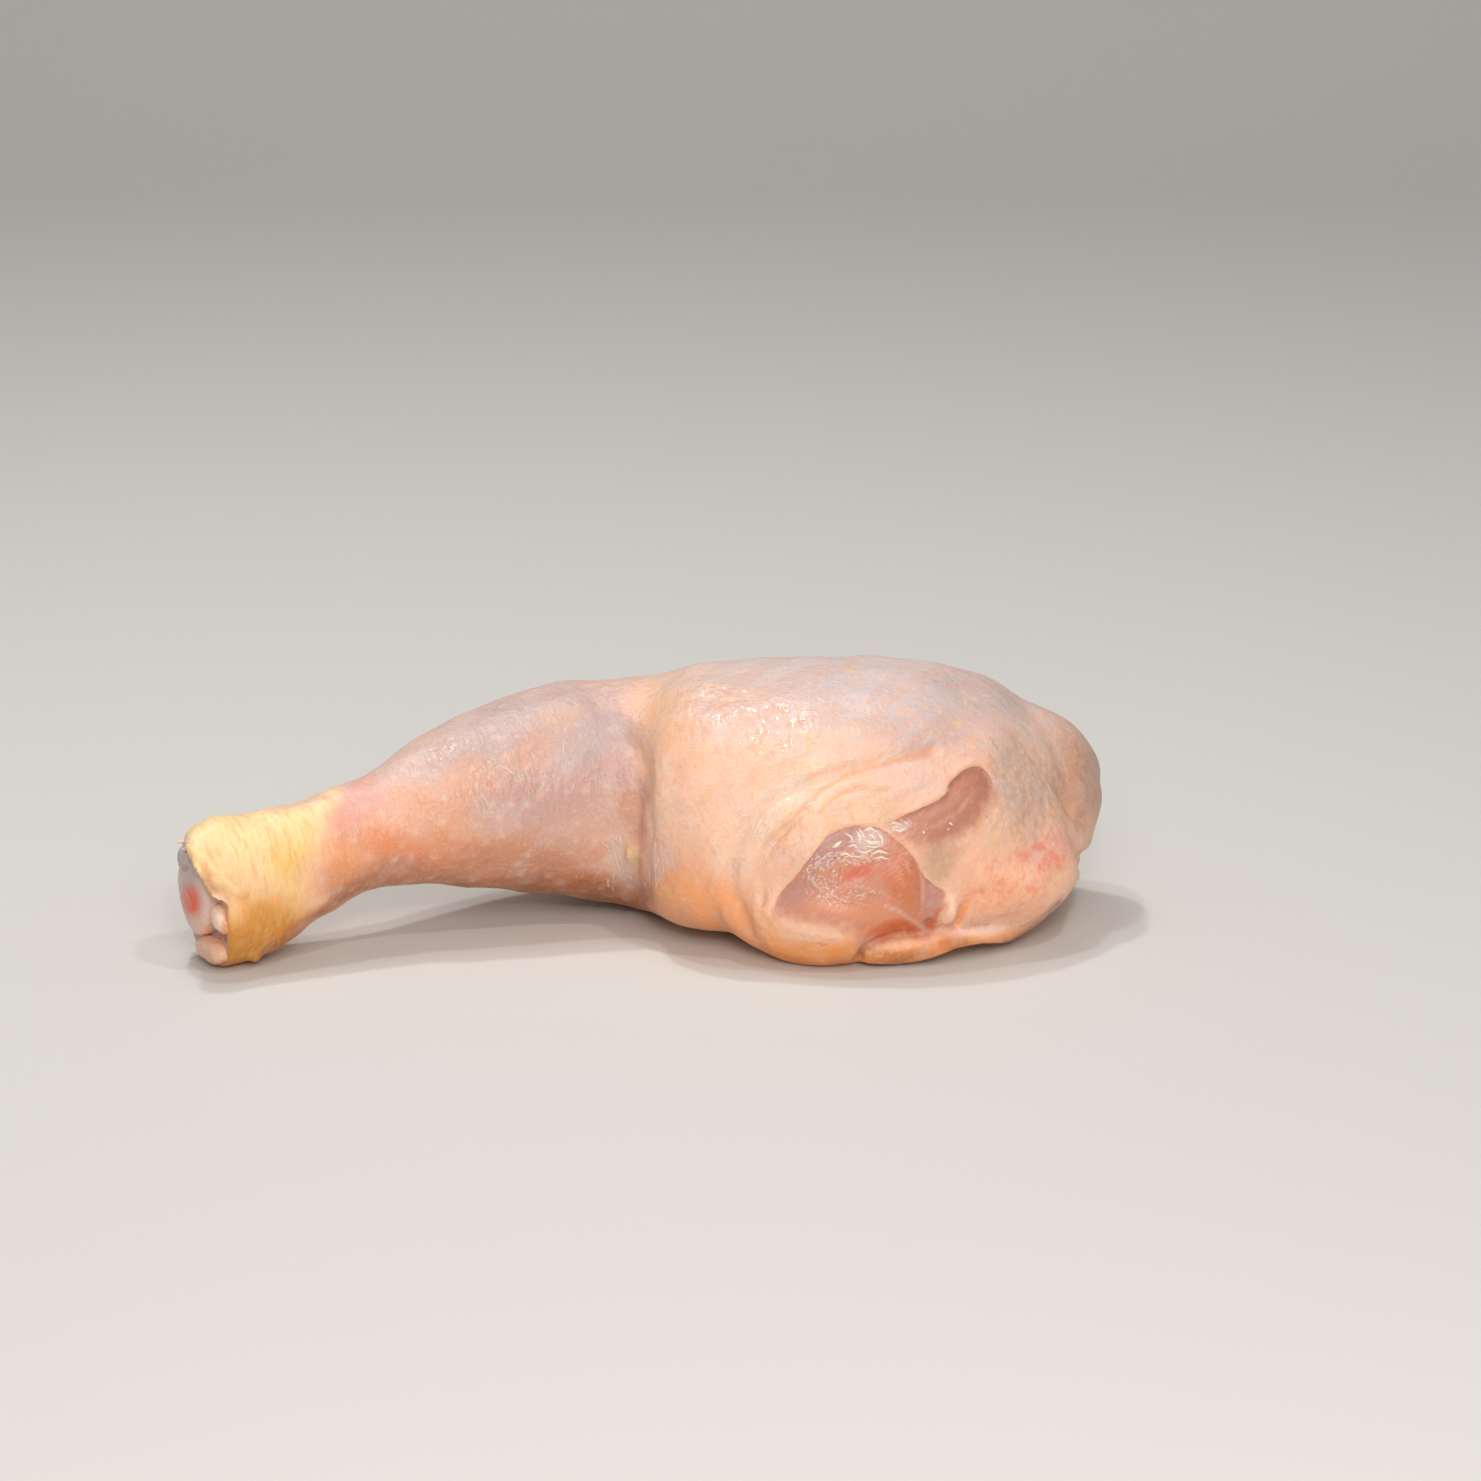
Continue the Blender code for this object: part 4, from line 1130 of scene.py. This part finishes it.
# Where the skin is moist, smooth, pebbled or sore, and where film covers the muscle: ovals as above.
MOIST = (
    ((17, 60.5), (16, 7), -12, 1),
    ((34, 57), (10, 6), 0, 0.8),
    ((28, 50.5), (12, 5.5), 10, 1),
    ((50, 27), (15, 8.5), 25, 1),
    ((60, 31.5), (9, 3), 15, 0.8),
    ((34, 32), (10, 12), -30, 0.6),
    ((-30, 44), (20, 11), 20, 0.7),
    ((-45, 48), (10, 4), 25, 0.8),
    ((1, 34), (7, 18), 0, 0.3),
    ((72, 9), (16, 4), 5, 0.6),
    ((-92, 24), (8, 6), 20, 0.5),
)
FILMED = (
    ((52.2, 29.4), (6.5, 4.6), 0, 1),
    ((59.5, 31.8), (5, 2.4), 10, 0.9),
    ((43, 21), (9, 8), 40, 0.65),
    ((50, 25), (11, 4), 5, 0.7),
    ((49, 15.5), (9, 3.5), 5, 0.55),
    ((60.5, 24), (4, 5), 0, 0.35),
)
SMOOTH = (
    ((86, 17), (21, 15), 14, 1),
    ((62, 3), (16, 6.5), 6, 0.8),
    ((74, 8), (12, 6), 6, 1),
    ((90, 40), (12, 14), 10, 0.6),
)
PEBBLED = (
    ((89, 39), (14, 18), 10, 1),
    ((69, 22.5), (5, 5.5), 0, 0.8),
    ((100, 40), (10, 18), 10, 0.5),
)
SORE = (
    ((93, 25), (9, 6), 10, 1),
    ((84, 18), (14, 9), 12, 0.8),
)
COVERS = {"moist": MOIST, "filmed": FILMED, "smooth": SMOOTH, "pebbled": PEBBLED, "sore": SORE}


def covered(places, ovals):
    """How far each place is covered by soft ovals, from 0 to 1."""
    cover = np.zeros(len(places))
    for middle, halves, turn, strength in ovals:
        share = strength * smoothstep(1.0, 0.4, across_oval(places, middle, halves, turn))
        cover = np.maximum(cover, share)
    return cover


def skin_values(points, normals, settings, meat):
    """What the material reads at each point of the skin, by name."""
    places = seen(points)
    warped = places + WARP * np.stack([lumps(points, seed, WARP_LENGTH) for seed in WARP_SEEDS], axis=1)
    shown = facing(normals)
    skin = lined(places, skin_colours(warped, settings, shown), SKIN_LINES, settings, shown)
    muscle = painted(warped, meat.muscle, MUSCLE_PATCHES, meat, shown)
    behind, forward_by, up_by, from_middle = on_cut(points)
    rim = FACE_RIM + FAR_RIM * smoothstep(1.0, -2.0, forward_by) * smoothstep(6.0, 0.0, up_by)
    face = smoothstep(0.03, -0.03, from_middle - rim) * smoothstep(*FACE_COLOURED, behind)
    tear, hock = inside_tears(places), hock_share(warped)
    drumstick = smoothstep(*DRUMSTICK_EDGE, places[:, 0]) * (1 - hock)
    full = smoothstep(*FOLLICLES_FULL, places[:, 1])
    values = {
        "skin_colour": blend(skin, face, painted(places, settings.cut, FACE_PATCHES, settings)),
        "muscle_colour": lined(places, muscle, MUSCLE_LINES, meat, shown),
        "tear": np.where(shown > TEARS_SHOWN, tear, np.minimum(tear, UNTORN)),
        "edge_above": edge_above(places),
        "hock": hock * (1 - face),
        "drumstick": drumstick,
        "follicles": drumstick * (FOLLICLES_LEAST + (1 - FOLLICLES_LEAST) * full),
        "from_spot": np.linalg.norm((places - BLOODSHOT) * SPOT_FLATNESS, axis=1),
        **{name: covered(places, ovals) for name, ovals in COVERS.items()},
    }
    values["filmed"] *= smoothstep(*SPOT_CLEAR, values["from_spot"])
    return values


class BuildSkin(bpy.types.Operator):
    """The leg's surface: skin with its creases, rolled flap and follicles, and the muscle in its tears"""

    bl_idname = "chicken.skin"
    bl_label = "Skin and bared muscle"

    def execute(self, context):
        settings, meat = context.scene.chicken_skin, context.scene.chicken_muscle
        leg = leg_shape(settings.voxel / MM)
        move_points(leg.data, trim_hock(shape_of(leg.data)[0]))
        fuse(leg, settings.voxel / MM, RIM_SMOOTHING)
        points, normals = shape_of(leg.data)
        points += normals * relief(points, normals)[:, None]
        points[:, 2] = np.maximum(points[:, 2], underside(points))
        move_points(leg.data, points)
        for name, values in skin_values(points, normals, settings, meat).items():
            mark(leg.data, name, values)
        grow(
            placed(leg),
            follicle_tree(),
            Spacing=settings.follicle_spacing,
            Width=settings.follicle_width,
            Height=settings.follicle_height,
            Seed=settings.follicle_seed,
            Material=skin_material(settings, meat),
        )
        finish_piece(leg, "skin", "leg_quarter")
        return {"FINISHED"}


# Strands

# Thin raised strands: half the width, and the line that each follows on the front. The first are wrinkles
# of the skin and the others folds of the film over the muscle.
WRINKLES = (
    (0.28, ((-6.4, 27.6), (-5.2, 23), (-4.4, 19.2))),
    (0.30, ((-33.6, 46.4), (-30.5, 45), (-28, 43))),
    (0.26, ((-36.4, 39.6), (-34.4, 36))),
    (0.26, ((-38, 38), (-36.6, 34.4))),
    (0.28, ((-17.8, 51.5), (-17.4, 46.8))),
    (0.40, ((26.6, 27.4), (28.4, 30.2), (30.2, 33.8))),
    (0.36, ((28.2, 28), (29.6, 30.4), (31, 32.4))),
    (0.34, ((25.6, 29.4), (27, 32), (28.6, 34.6))),
    (0.50, ((-102.6, 28), (-104, 28.4), (-105.5, 28.4), (-107.2, 28.2))),
)
FILM_FOLDS = (
    (0.55, ((44.2, 26.9), (45.2, 27.5), (46.4, 28.6))),
    (0.50, ((49.8, 31), (50.6, 29.4), (50.8, 27.4))),
    (0.55, ((51.4, 30.8), (53, 31.4), (54.6, 30.6))),
    (0.60, ((51.2, 28.8), (53.2, 28), (55.4, 28.4))),
    (0.45, ((54.8, 30.4), (55.8, 28.8), (55.6, 27.2))),
    (0.40, ((49.4, 26.4), (51.6, 25.8), (53.4, 26.4))),
    (0.40, ((53, 25.4), (55, 26.2), (57.2, 25.6))),
    (0.35, ((45.8, 25.2), (47.6, 25.6), (49, 24.6))),
    (0.35, ((47.2, 30.4), (48.6, 29.4), (48.8, 28))),
    (0.35, ((50.2, 31.6), (51.4, 29.8), (51.6, 28.4))),
    (0.40, ((52.4, 30.2), (53.8, 29.4), (54.2, 28.4))),
    (0.30, ((51.8, 27.4), (53.6, 27), (55.4, 27.4))),
    (0.30, ((47.6, 27.2), (49.2, 27.6), (50.4, 26.6))),
    (0.28, ((48.4, 25.2), (50.2, 24.8), (52, 25.4))),
    (0.28, ((53.4, 24.4), (55.6, 24.8), (57.6, 24.2))),
    (0.35, ((57, 32.2), (58.6, 32.8), (60.4, 32))),
    (0.35, ((58.2, 31), (60, 30.8), (61.4, 31.6))),
    (0.30, ((60.6, 33.2), (61.8, 32.2))),
    (0.35, ((65, 30.8), (65.6, 30.2))),
    (0.30, ((71, 32.8), (72, 32.2))),
    (0.28, ((70.6, 31.4), (71.2, 31))),
)
# Strands that fall at random: the middle and the half sizes of an oval, its turn, how many, how long and
# how wide at most, and their heading in degrees. Where that is RINGS they follow ovals round the bloodshot
# spot, and where it is TEARS they follow the outline of the nearest tear.
RINGS = "rings"
TEARS = "tears"
SKIN_STROKES = (
    ((-5, 22.5), (3.4, 8.5), 8, 16, 3.6, 0.28, 104),
    ((3.4, 23.5), (2.6, 8), -8, 12, 3.6, 0.28, 76),
    ((-30, 41), (12, 7), 20, 26, 2.8, 0.24, 112),
    ((-14, 44), (8, 8), 0, 12, 2.8, 0.24, 96),
    ((30, 32), (9, 13), -25, 40, 3.6, 0.34, TEARS),
    ((46, 40.5), (18, 6.5), 18, 46, 3.2, 0.30, TEARS),
    ((40, 50), (20, 7), 14, 24, 3.2, 0.24, 28),
)
FILM_STROKES = (
    ((42, 20.5), (4.4, 6), 25, 56, 1.3, 0.17, RINGS),
    ((47, 16.2), (6.5, 2), 5, 26, 1.3, 0.16, RINGS),
    ((50, 25.4), (7.5, 2.4), 5, 34, 1.5, 0.19, RINGS),
)
STROKE_STEPS = 4
STROKE_SEED = 8
# How far a stroke turns from its heading at each step: round the spot, and elsewhere.
RING_BEND = 0.4
STROKE_BEND = 0.14
# How flat the ovals are that strokes follow round the bloodshot spot.
RING_FLATNESS = (1.0, 2.2)
# How far a strand's middle lies under the skin, and how wide its tips are, as shares of its half width.
SUNK = 0.45
TIP = 0.15


class StrandSettings(bpy.types.PropertyGroup):
    """Shape and colours of the wrinkles and the film folds."""

    sides: IntProperty(name="Sides", description="Flat sides of each strand", default=6, min=3)
    # Wrinkles are paled past the skin's colour, partly as painted light on their shaded sides
    paleness_and_painted_light: FloatProperty(
        name="Paleness", description="How pale wrinkles are", default=0.6, min=0.0, max=1.0
    )
    film: tint("Film", "Folds of the film over the muscle", (0.94, 0.75, 0.66))
    rosy: tint("Rosy", "Flush of the strands", (0.66, 0.36, 0.28))


def heading_at(places, heading):
    """The direction that strands take at each place."""
    if heading == RINGS:
        away = (places - BLOODSHOT) * RING_FLATNESS
    elif heading == TEARS:
        steps = np.array(((0.3, 0.0), (0.0, 0.3)))
        away = np.stack([inside_tears(places + s) - inside_tears(places - s) for s in steps], axis=1)
    else:
        turn = math.radians(heading - 90)
        away = np.tile((math.cos(turn), math.sin(turn)), (len(places), 1))
    away = away / np.maximum(np.linalg.norm(away, axis=1), 1e-6)[:, None]
    return np.stack([-away[:, 1], away[:, 0]], axis=1)


def strokes(table):
    """Short bent paths at random places of each oval, with the half width of each."""
    draw = np.random.default_rng(STROKE_SEED)
    found = []
    for middle, halves, turn, count, length, half_width, heading in table:
        turned = math.radians(turn)
        radius, around = np.sqrt(draw.uniform(0, 1, count)), draw.uniform(0, 2 * math.pi, count)
        long, short = halves[0] * radius * np.cos(around), halves[1] * radius * np.sin(around)
        across = middle[0] + long * math.cos(turned) - short * math.sin(turned)
        up = middle[1] + long * math.sin(turned) + short * math.cos(turned)
        places = np.stack([across, up], axis=1)
        steps = draw.uniform(0.4, 1.0, (count, 1)) * length / STROKE_STEPS
        bend = np.zeros(count)
        paths = [places]
        for _ in range(STROKE_STEPS):
            ahead = heading_at(places, heading)
            bend += draw.normal(0, RING_BEND if heading == RINGS else STROKE_BEND, count)
            sideways = np.stack([-ahead[:, 1], ahead[:, 0]], axis=1)
            places = places + steps * (ahead * np.cos(bend)[:, None] + sideways * np.sin(bend)[:, None])
            paths.append(places)
        found += zip(half_width * draw.uniform(0.5, 1.0, count), np.stack(paths, axis=1))
    return found


def landed(skin, places):
    """Where a path in the front plane lands on the skin, and the skin's direction there.

    Past the leg's outline the path stays as deep as its last point on the skin."""
    up = Vector(UP)
    eye = VIEW_CENTRE + Vector(BACK) * VIEW_DISTANCE
    found = []
    for across, height in places:
        aim = VIEW_CENTRE + Vector((across - VIEW_CENTRE.x, 0, 0)) + up * (height - VIEW_CENTRE.dot(up))
        spot, normal, _, _ = skin.ray_cast(eye, (aim - eye).normalized())
        if spot is None:
            spot = last[0] + Vector((across - last[2], 0, 0)) + up * (height - last[3])
            normal = last[1]
        else:
            last = (spot, normal, across, height)
        found.append((spot, normal))
    return found


def strand_tree():
    """Geometry nodes that turn paths with a width at each point into closed round strands."""
    group, tree, (geometry, sides, material) = geometry_group("strands", ("Sides", "Int"))
    width = tree.named("half_width")
    curve = tree.add("GeometryNodeMeshToCurve", {}, {"Mesh": geometry})
    sized = tree.add("GeometryNodeSetCurveRadius", {}, {"Curve": curve, "Radius": width})
    edge = tree.add("GeometryNodeCurvePrimitiveCircle", {}, {"Resolution": sides, "Radius": 1.0})
    sockets = {"Curve": sized, "Profile Curve": edge, "Scale": width, "Fill Caps": True}
    return end_group(group, tree, tree.add("GeometryNodeCurveToMesh", {}, sockets), material)


def strands(name, skin, lines):
    """Paths that lie on the skin, half sunk in it and tapered to their ends."""
    bm = bmesh.new()
    layer = bm.verts.layers.float.new("half_width")
    for half_width, path in lines:
        along = np.linspace(0, len(path) - 1, 3 * len(path))
        places = np.stack([np.interp(along, range(len(path)), values) for values in np.array(path).T], axis=1)
        last = None
        for k, (spot, normal) in enumerate(landed(skin, places)):
            radius = half_width * (TIP + (1 - TIP) * math.sin(math.pi * k / (len(places) - 1)))
            vert = bm.verts.new(spot - normal * radius * SUNK)
            vert[layer] = radius * MM
            if last:
                bm.edges.new((last, vert))
            last = vert
    return new_object(name, bm)


def strand_material(name, settings):
    material, tree, surface, place = shader(name, 0.3, 1.0)
    cloud, fine = tree.noise(place, 0.6, 3.0), tree.noise(place, 2.0)
    colour = tree.layered(tree.attribute("strand_colour", 0), (cloud, 0.35, 0.7, 0.3, settings.rosy))
    wire_surface(tree, surface, colour, 0.24 + fine.swing(0.15), cloud.swing(0.3) + fine.swing(0.1))
    return material


class BuildStrands(bpy.types.Operator):
    """Fine raised strands: wrinkles of the skin, and folds of the film over the bared muscle"""

    bl_idname = "chicken.strands"
    bl_label = "Wrinkles and film folds"

    def execute(self, context):
        settings = context.scene.chicken_strands
        bm = bmesh.new()
        bm.from_mesh(bpy.data.objects["leg_skin"].data)
        bm.transform(Matrix.Translation(LEG_MIDDLE) @ Matrix.Scale(1 / MM, 4))
        skin = BVHTree.FromBMesh(bm)
        bm.free()
        for name, paleness_and_painted_light, lines in (
            ("skin_wrinkles", settings.paleness_and_painted_light, (*WRINKLES, *strokes(SKIN_STROKES))),
            ("film_folds", 1.0, (*FILM_FOLDS, *strokes(FILM_STROKES))),
        ):
            piece = strands(name, skin, lines)
            places = seen(shape_of(piece.data)[0])
            colours = skin_colours(places, context.scene.chicken_skin)
            # strands take the film colour by this share: the film's own colour, and on the skin's wrinkles
            # partly painted light
            mark(piece.data, "strand_colour", blend(colours, np.full(len(places), paleness_and_painted_light), settings.film))
            material = strand_material(name, settings)
            grow(placed(piece), strand_tree(), Sides=settings.sides, Material=material)
            piece.data.shade_smooth()
            finish_piece(piece, "skin")
        return {"FINISHED"}


# The cut at the hock

# Where what shows at the cut has which colour, as the patches above.
CUT_PATCHES = (
    ("bluish", (-103.8, 20.8), (3, 5), 0, 0.7),
    ("bluish", (-105.4, 24.5), (1.2, 3.5), 0, 0.6),
    ("marrow", (-103.2, 14.8), (3, 5.8), 10, 1),
    ("slit", (-104.6, 22.3), (1.3, 1.3), 0, 0.8),
    ("sinew", (-101, 5.5), (6, 8), 0, 0.9),
    ("amber", (-95.4, 9), (1.6, 4.5), 5, 0.9),
    # painted light: brightens the side tendon's tip where the cuff shades it
    ("pearl_and_painted_light", (-97.4, 11), (2.2, 4.6), 5, 0.9),
)
# What runs into the flesh: its name, shape, colour and slot, and the node that it replaces.
BONE_PIECES = (
    ("shin_bone_end", BONE, "gristle", "bone", "shin_bone"),
    ("marrow_core", MARROW, "gristle", "marrow", "marrow"),
)
TENDON_PIECES = (
    ("heel_sinew", HEEL_TENDON, "sinew", "tendon", "heel_tendon"),
    ("side_sinew", SIDE_TENDON, "sinew", "tendon", "side_tendon"),
    ("shin_sinew", SHIN_TENDON, "bluish", "tendon", "shin_tendon"),
)
# How uneven they are, and the length and the random seed of that.
BONE_UNEVENNESS = 0.06
TENDON_UNEVENNESS = 0.12
UNEVEN_LENGTH = 4.0
UNEVEN_SEED = 31


class HockSettings(bpy.types.PropertyGroup):
    """Colours of what shows at the cut."""

    gristle: tint("Gristle", "Face of the shin bone", (0.68, 0.50, 0.45))
    marrow: tint("Marrow", "Middle of the shin bone", (0.80, 0.085, 0.012))
    sinew: tint("Sinew", "Tendons", (0.80, 0.48, 0.33))
    bluish: tint("Bluish", "Thin tendon over the bone", (0.48, 0.40, 0.40))
    slit: tint("Slit", "Blood in the cut", (0.46, 0.16, 0.08))
    amber: tint("Amber", "Side tendon beside the skin", (0.74, 0.32, 0.14))
    # Pale tip of the side tendon, lightened further as painted light
    pearl_and_painted_light: tint("Pearl", "Tip of the side tendon", (0.96, 0.74, 0.58))
    cloud: tint("Cloud", "Darker clouds in what shows", (0.66, 0.42, 0.34))
    milk: tint("Milk", "Small pale spots in what shows", (0.80, 0.64, 0.56))


def run_piece(name, shape, unevenness):
    """A smooth solid that runs into the flesh from the cut."""
    rings = []
    for across, forward_by, up_by, half_up, half_forward in spline_rows(shape, 4, 5):
        middle, along = spine_at(across)
        forward, upward = frame_of(along)
        centre = middle + forward * forward_by + upward * up_by
        rings.append(oval_ring(centre, along, half_up, half_forward, 40, LEANS.get(name, 0.0)))
    made = new_object(name, bridged(rings))
    points, normals = shape_of(made.data)
    points += normals * (unevenness * lumps(points, UNEVEN_SEED, UNEVEN_LENGTH))[:, None]
    move_points(made.data, points)
    return made


def cut_material(name, settings):
    """What shows at the cut, in the colour that each piece was painted."""
    material, tree, surface, place = shader(name, 0.2, 1.5)
    cloud, fine = tree.noise(place, 0.5, 3.0), tree.noise(place, 1.6, 3.0)
    colour = tree.layered(
        tree.attribute("cut_colour", 0),
        (cloud, 0.45, 0.7, 0.06, settings.cloud),
        (fine, 0.55, 0.8, 0.06, settings.milk),
    )
    wire_surface(tree, surface, colour, 0.26 + fine.swing(0.15), cloud.swing(0.4) + fine.swing(0.04))
    return material


def build_cut_pieces(pieces, unevenness, material, settings):
    for name, shape, base, slot, node in pieces:
        piece = run_piece(name, shape, unevenness)
        places = seen(shape_of(piece.data)[0])
        mark(piece.data, "cut_colour", painted(places, getattr(settings, base), CUT_PATCHES, settings))
        piece.data.materials.append(material)
        finish_piece(placed(piece), slot, node)


class BuildBone(bpy.types.Operator):
    """The shin bone with its gristle end, and the marrow in it"""

    bl_idname = "chicken.bone"
    bl_label = "Shin bone and marrow"

    def execute(self, context):
        settings = context.scene.chicken_hock
        build_cut_pieces(BONE_PIECES, BONE_UNEVENNESS, cut_material("gristle", settings), settings)
        return {"FINISHED"}


class BuildTendons(bpy.types.Operator):
    """The tendons around the bone"""

    bl_idname = "chicken.tendons"
    bl_label = "Tendons"

    def execute(self, context):
        settings = context.scene.chicken_hock
        build_cut_pieces(TENDON_PIECES, TENDON_UNEVENNESS, cut_material("sinew", settings), settings)
        return {"FINISHED"}


# Stage

WHITE = (1.0, 1.0, 1.0)
# Each light: its place and width, the setting and the share that give its power, and its colour.
LIGHTS = (
    ("key", (-0.15, 0.2, 0.95), 0.4, "key_power", 1.0, (1.0, 0.99, 0.98)),
    ("fill", (0.1, -1.05, 0.65), 0.7, "fill_power", 1.0, (1.0, 0.97, 0.94)),
    ("bounce", (0.15, -0.9, 0.06), 0.5, "bounce_power", 1.0, (1.0, 0.66, 0.36)),
    ("glint above", (-0.21, 0.30, 0.95), 0.06, "glint_power", 0.9, WHITE),
    ("glint overhead", (-0.20, 0.03, 0.98), 0.06, "glint_power", 0.5, WHITE),
    ("glint ahead", (0.28, -0.42, 0.90), 0.06, "glint_power", 0.6, WHITE),
    ("glint in front", (0.05, -0.95, 0.50), 0.06, "glint_power", 0.45, WHITE),
)
LIT = Vector((0.0, 0.0, 0.03))
SENSOR_WIDTH = 36.0
# What the camera sees across, at the middle of the leg.
VIEW_WIDTH = 340.63
# The floor: half its width, where it starts and starts to curve up, the curve's radius, and its height.
FLOOR = (2.5, -1.2, 0.9, 0.5, 2.0)


class StageSettings(bpy.types.PropertyGroup):
    """Floor, lights and camera."""

    floor: tint("Floor", "Colour of the floor and the backdrop", (0.66, 0.64, 0.61))
    floor_grain: tint("Floor grain", "Faint clouds on the floor", (0.58, 0.56, 0.53))
    key_power: power_property("Key light", "Power of the light from above", 1.5)
    fill_power: power_property("Fill light", "Power of the light from the front", 6.2)
    bounce_power: power_property("Bounce", "Power of the warm low light", 0.9)
    glint_power: power_property("Glint lights", "Power that each small light has a share of", 2.2)
    sky: FloatProperty(name="Sky", description="Strength of the even light all round", default=0.32, min=0.0)


def floor_sheet(settings):
    """A floor that curves up behind the leg."""
    half, start, bend, radius, top = FLOOR
    turns = [math.pi / 2 * k / 12 for k in range(1, 13)]
    curve = [(bend + radius * math.sin(a), radius * (1 - math.cos(a))) for a in turns]
    bm = bmesh.new()
    profile = ((start, 0), (bend, 0), *curve, (bend + radius, top))
    rows = [[bm.verts.new((x, y, z)) for x in (-half, half)] for y, z in profile]
    for one, other in zip(rows, rows[1:]):
        bm.faces.new((*one, *other[::-1]))
    sheet = new_object("studio_floor", bm)
    sheet.data.shade_smooth()
    material, tree, surface, place = shader("studio paper", 0.0, 1.0)
    colour = tree.mix(tree.noise(place, 0.02) * 0.04, settings.floor, settings.floor_grain)
    tree.links.new(colour.socket, surface.inputs["Base Color"])
    surface.inputs["Roughness"].default_value = 0.7
    surface.inputs["Specular IOR Level"].default_value = 0.2
    sheet.data.materials.append(material)


def area_light(name, place, size, power, colour):
    light = bpy.data.lights.new(name, "AREA")
    light.shape = "DISK"
    light.size = size
    light.energy = power
    light.color = colour
    lamp = bpy.data.objects.new(name, light)
    bpy.context.scene.collection.objects.link(lamp)
    # the wide light from above would lie as a grey band on the drumstick
    lamp.visible_glossy = name != "key"
    lamp.location = place
    lamp.rotation_euler = (LIT - Vector(place)).to_track_quat("-Z", "Y").to_euler()


class BuildStage(bpy.types.Operator):
    """Plain pale floor, soft studio light, and the camera at the angle that the front is laid out for"""

    bl_idname = "chicken.stage"
    bl_label = "Floor, lights and camera"

    def execute(self, context):
        settings = context.scene.chicken_stage
        floor_sheet(settings)
        for name, place, size, power, share, colour in LIGHTS:
            area_light(name, place, size, share * getattr(settings, power), colour)
        world = bpy.data.worlds.new("studio")
        world.use_nodes = True
        background = world.node_tree.nodes["Background"]
        background.inputs["Color"].default_value = (*WHITE, 1.0)
        background.inputs["Strength"].default_value = settings.sky
        context.scene.world = world
        context.scene.view_settings.view_transform = "Standard"
        camera = bpy.data.cameras.new("camera")
        camera.sensor_width = SENSOR_WIDTH
        camera.lens = SENSOR_WIDTH * VIEW_DISTANCE / VIEW_WIDTH
        eye = bpy.data.objects.new("camera", camera)
        context.scene.collection.objects.link(eye)
        eye.location = (VIEW_CENTRE - LEG_MIDDLE + Vector(BACK) * VIEW_DISTANCE) * MM
        eye.rotation_euler = (-Vector(BACK)).to_track_quat("-Z", "Y").to_euler()
        context.scene.camera = eye
        return {"FINISHED"}


# What builds the leg, and the settings that the panel lists with it. The tendons read the bone's.
STEPS = (
    (BuildSkin, ("chicken_skin", "chicken_muscle")),
    (BuildStrands, ("chicken_strands",)),
    (BuildBone, ("chicken_hock",)),
    (BuildTendons, ()),
    (BuildStage, ("chicken_stage",)),
)


class LegPanel(bpy.types.Panel):
    """Lists the pieces of the leg and their settings"""

    bl_idname = "VIEW3D_PT_chicken_leg"
    bl_label = "Raw Chicken Leg Quarter"
    bl_space_type = "VIEW_3D"
    bl_region_type = "UI"
    bl_category = "Chicken Leg"

    def draw(self, context):
        for operator, groups in STEPS:
            box = self.layout.box()
            box.operator(operator.bl_idname)
            for group in groups:
                settings = getattr(context.scene, group)
                for name in settings.__annotations__:
                    box.prop(settings, name)


SETTINGS = {
    "chicken_skin": SkinSettings,
    "chicken_muscle": MuscleSettings,
    "chicken_strands": StrandSettings,
    "chicken_hock": HockSettings,
    "chicken_stage": StageSettings,
}
CLASSES = (*SETTINGS.values(), *(operator for operator, _ in STEPS), LegPanel)


def register():
    for each in CLASSES:
        bpy.utils.register_class(each)
    for name, group in SETTINGS.items():
        setattr(bpy.types.Scene, name, PointerProperty(type=group))


def unregister():
    for name in SETTINGS:
        delattr(bpy.types.Scene, name)
    for each in reversed(CLASSES):
        bpy.utils.unregister_class(each)


def main():
    register()
    bpy.ops.chicken.skin()
    bpy.ops.chicken.strands()
    bpy.ops.chicken.bone()
    bpy.ops.chicken.tendons()
    bpy.ops.chicken.stage()


if __name__ == "__main__":
    main()
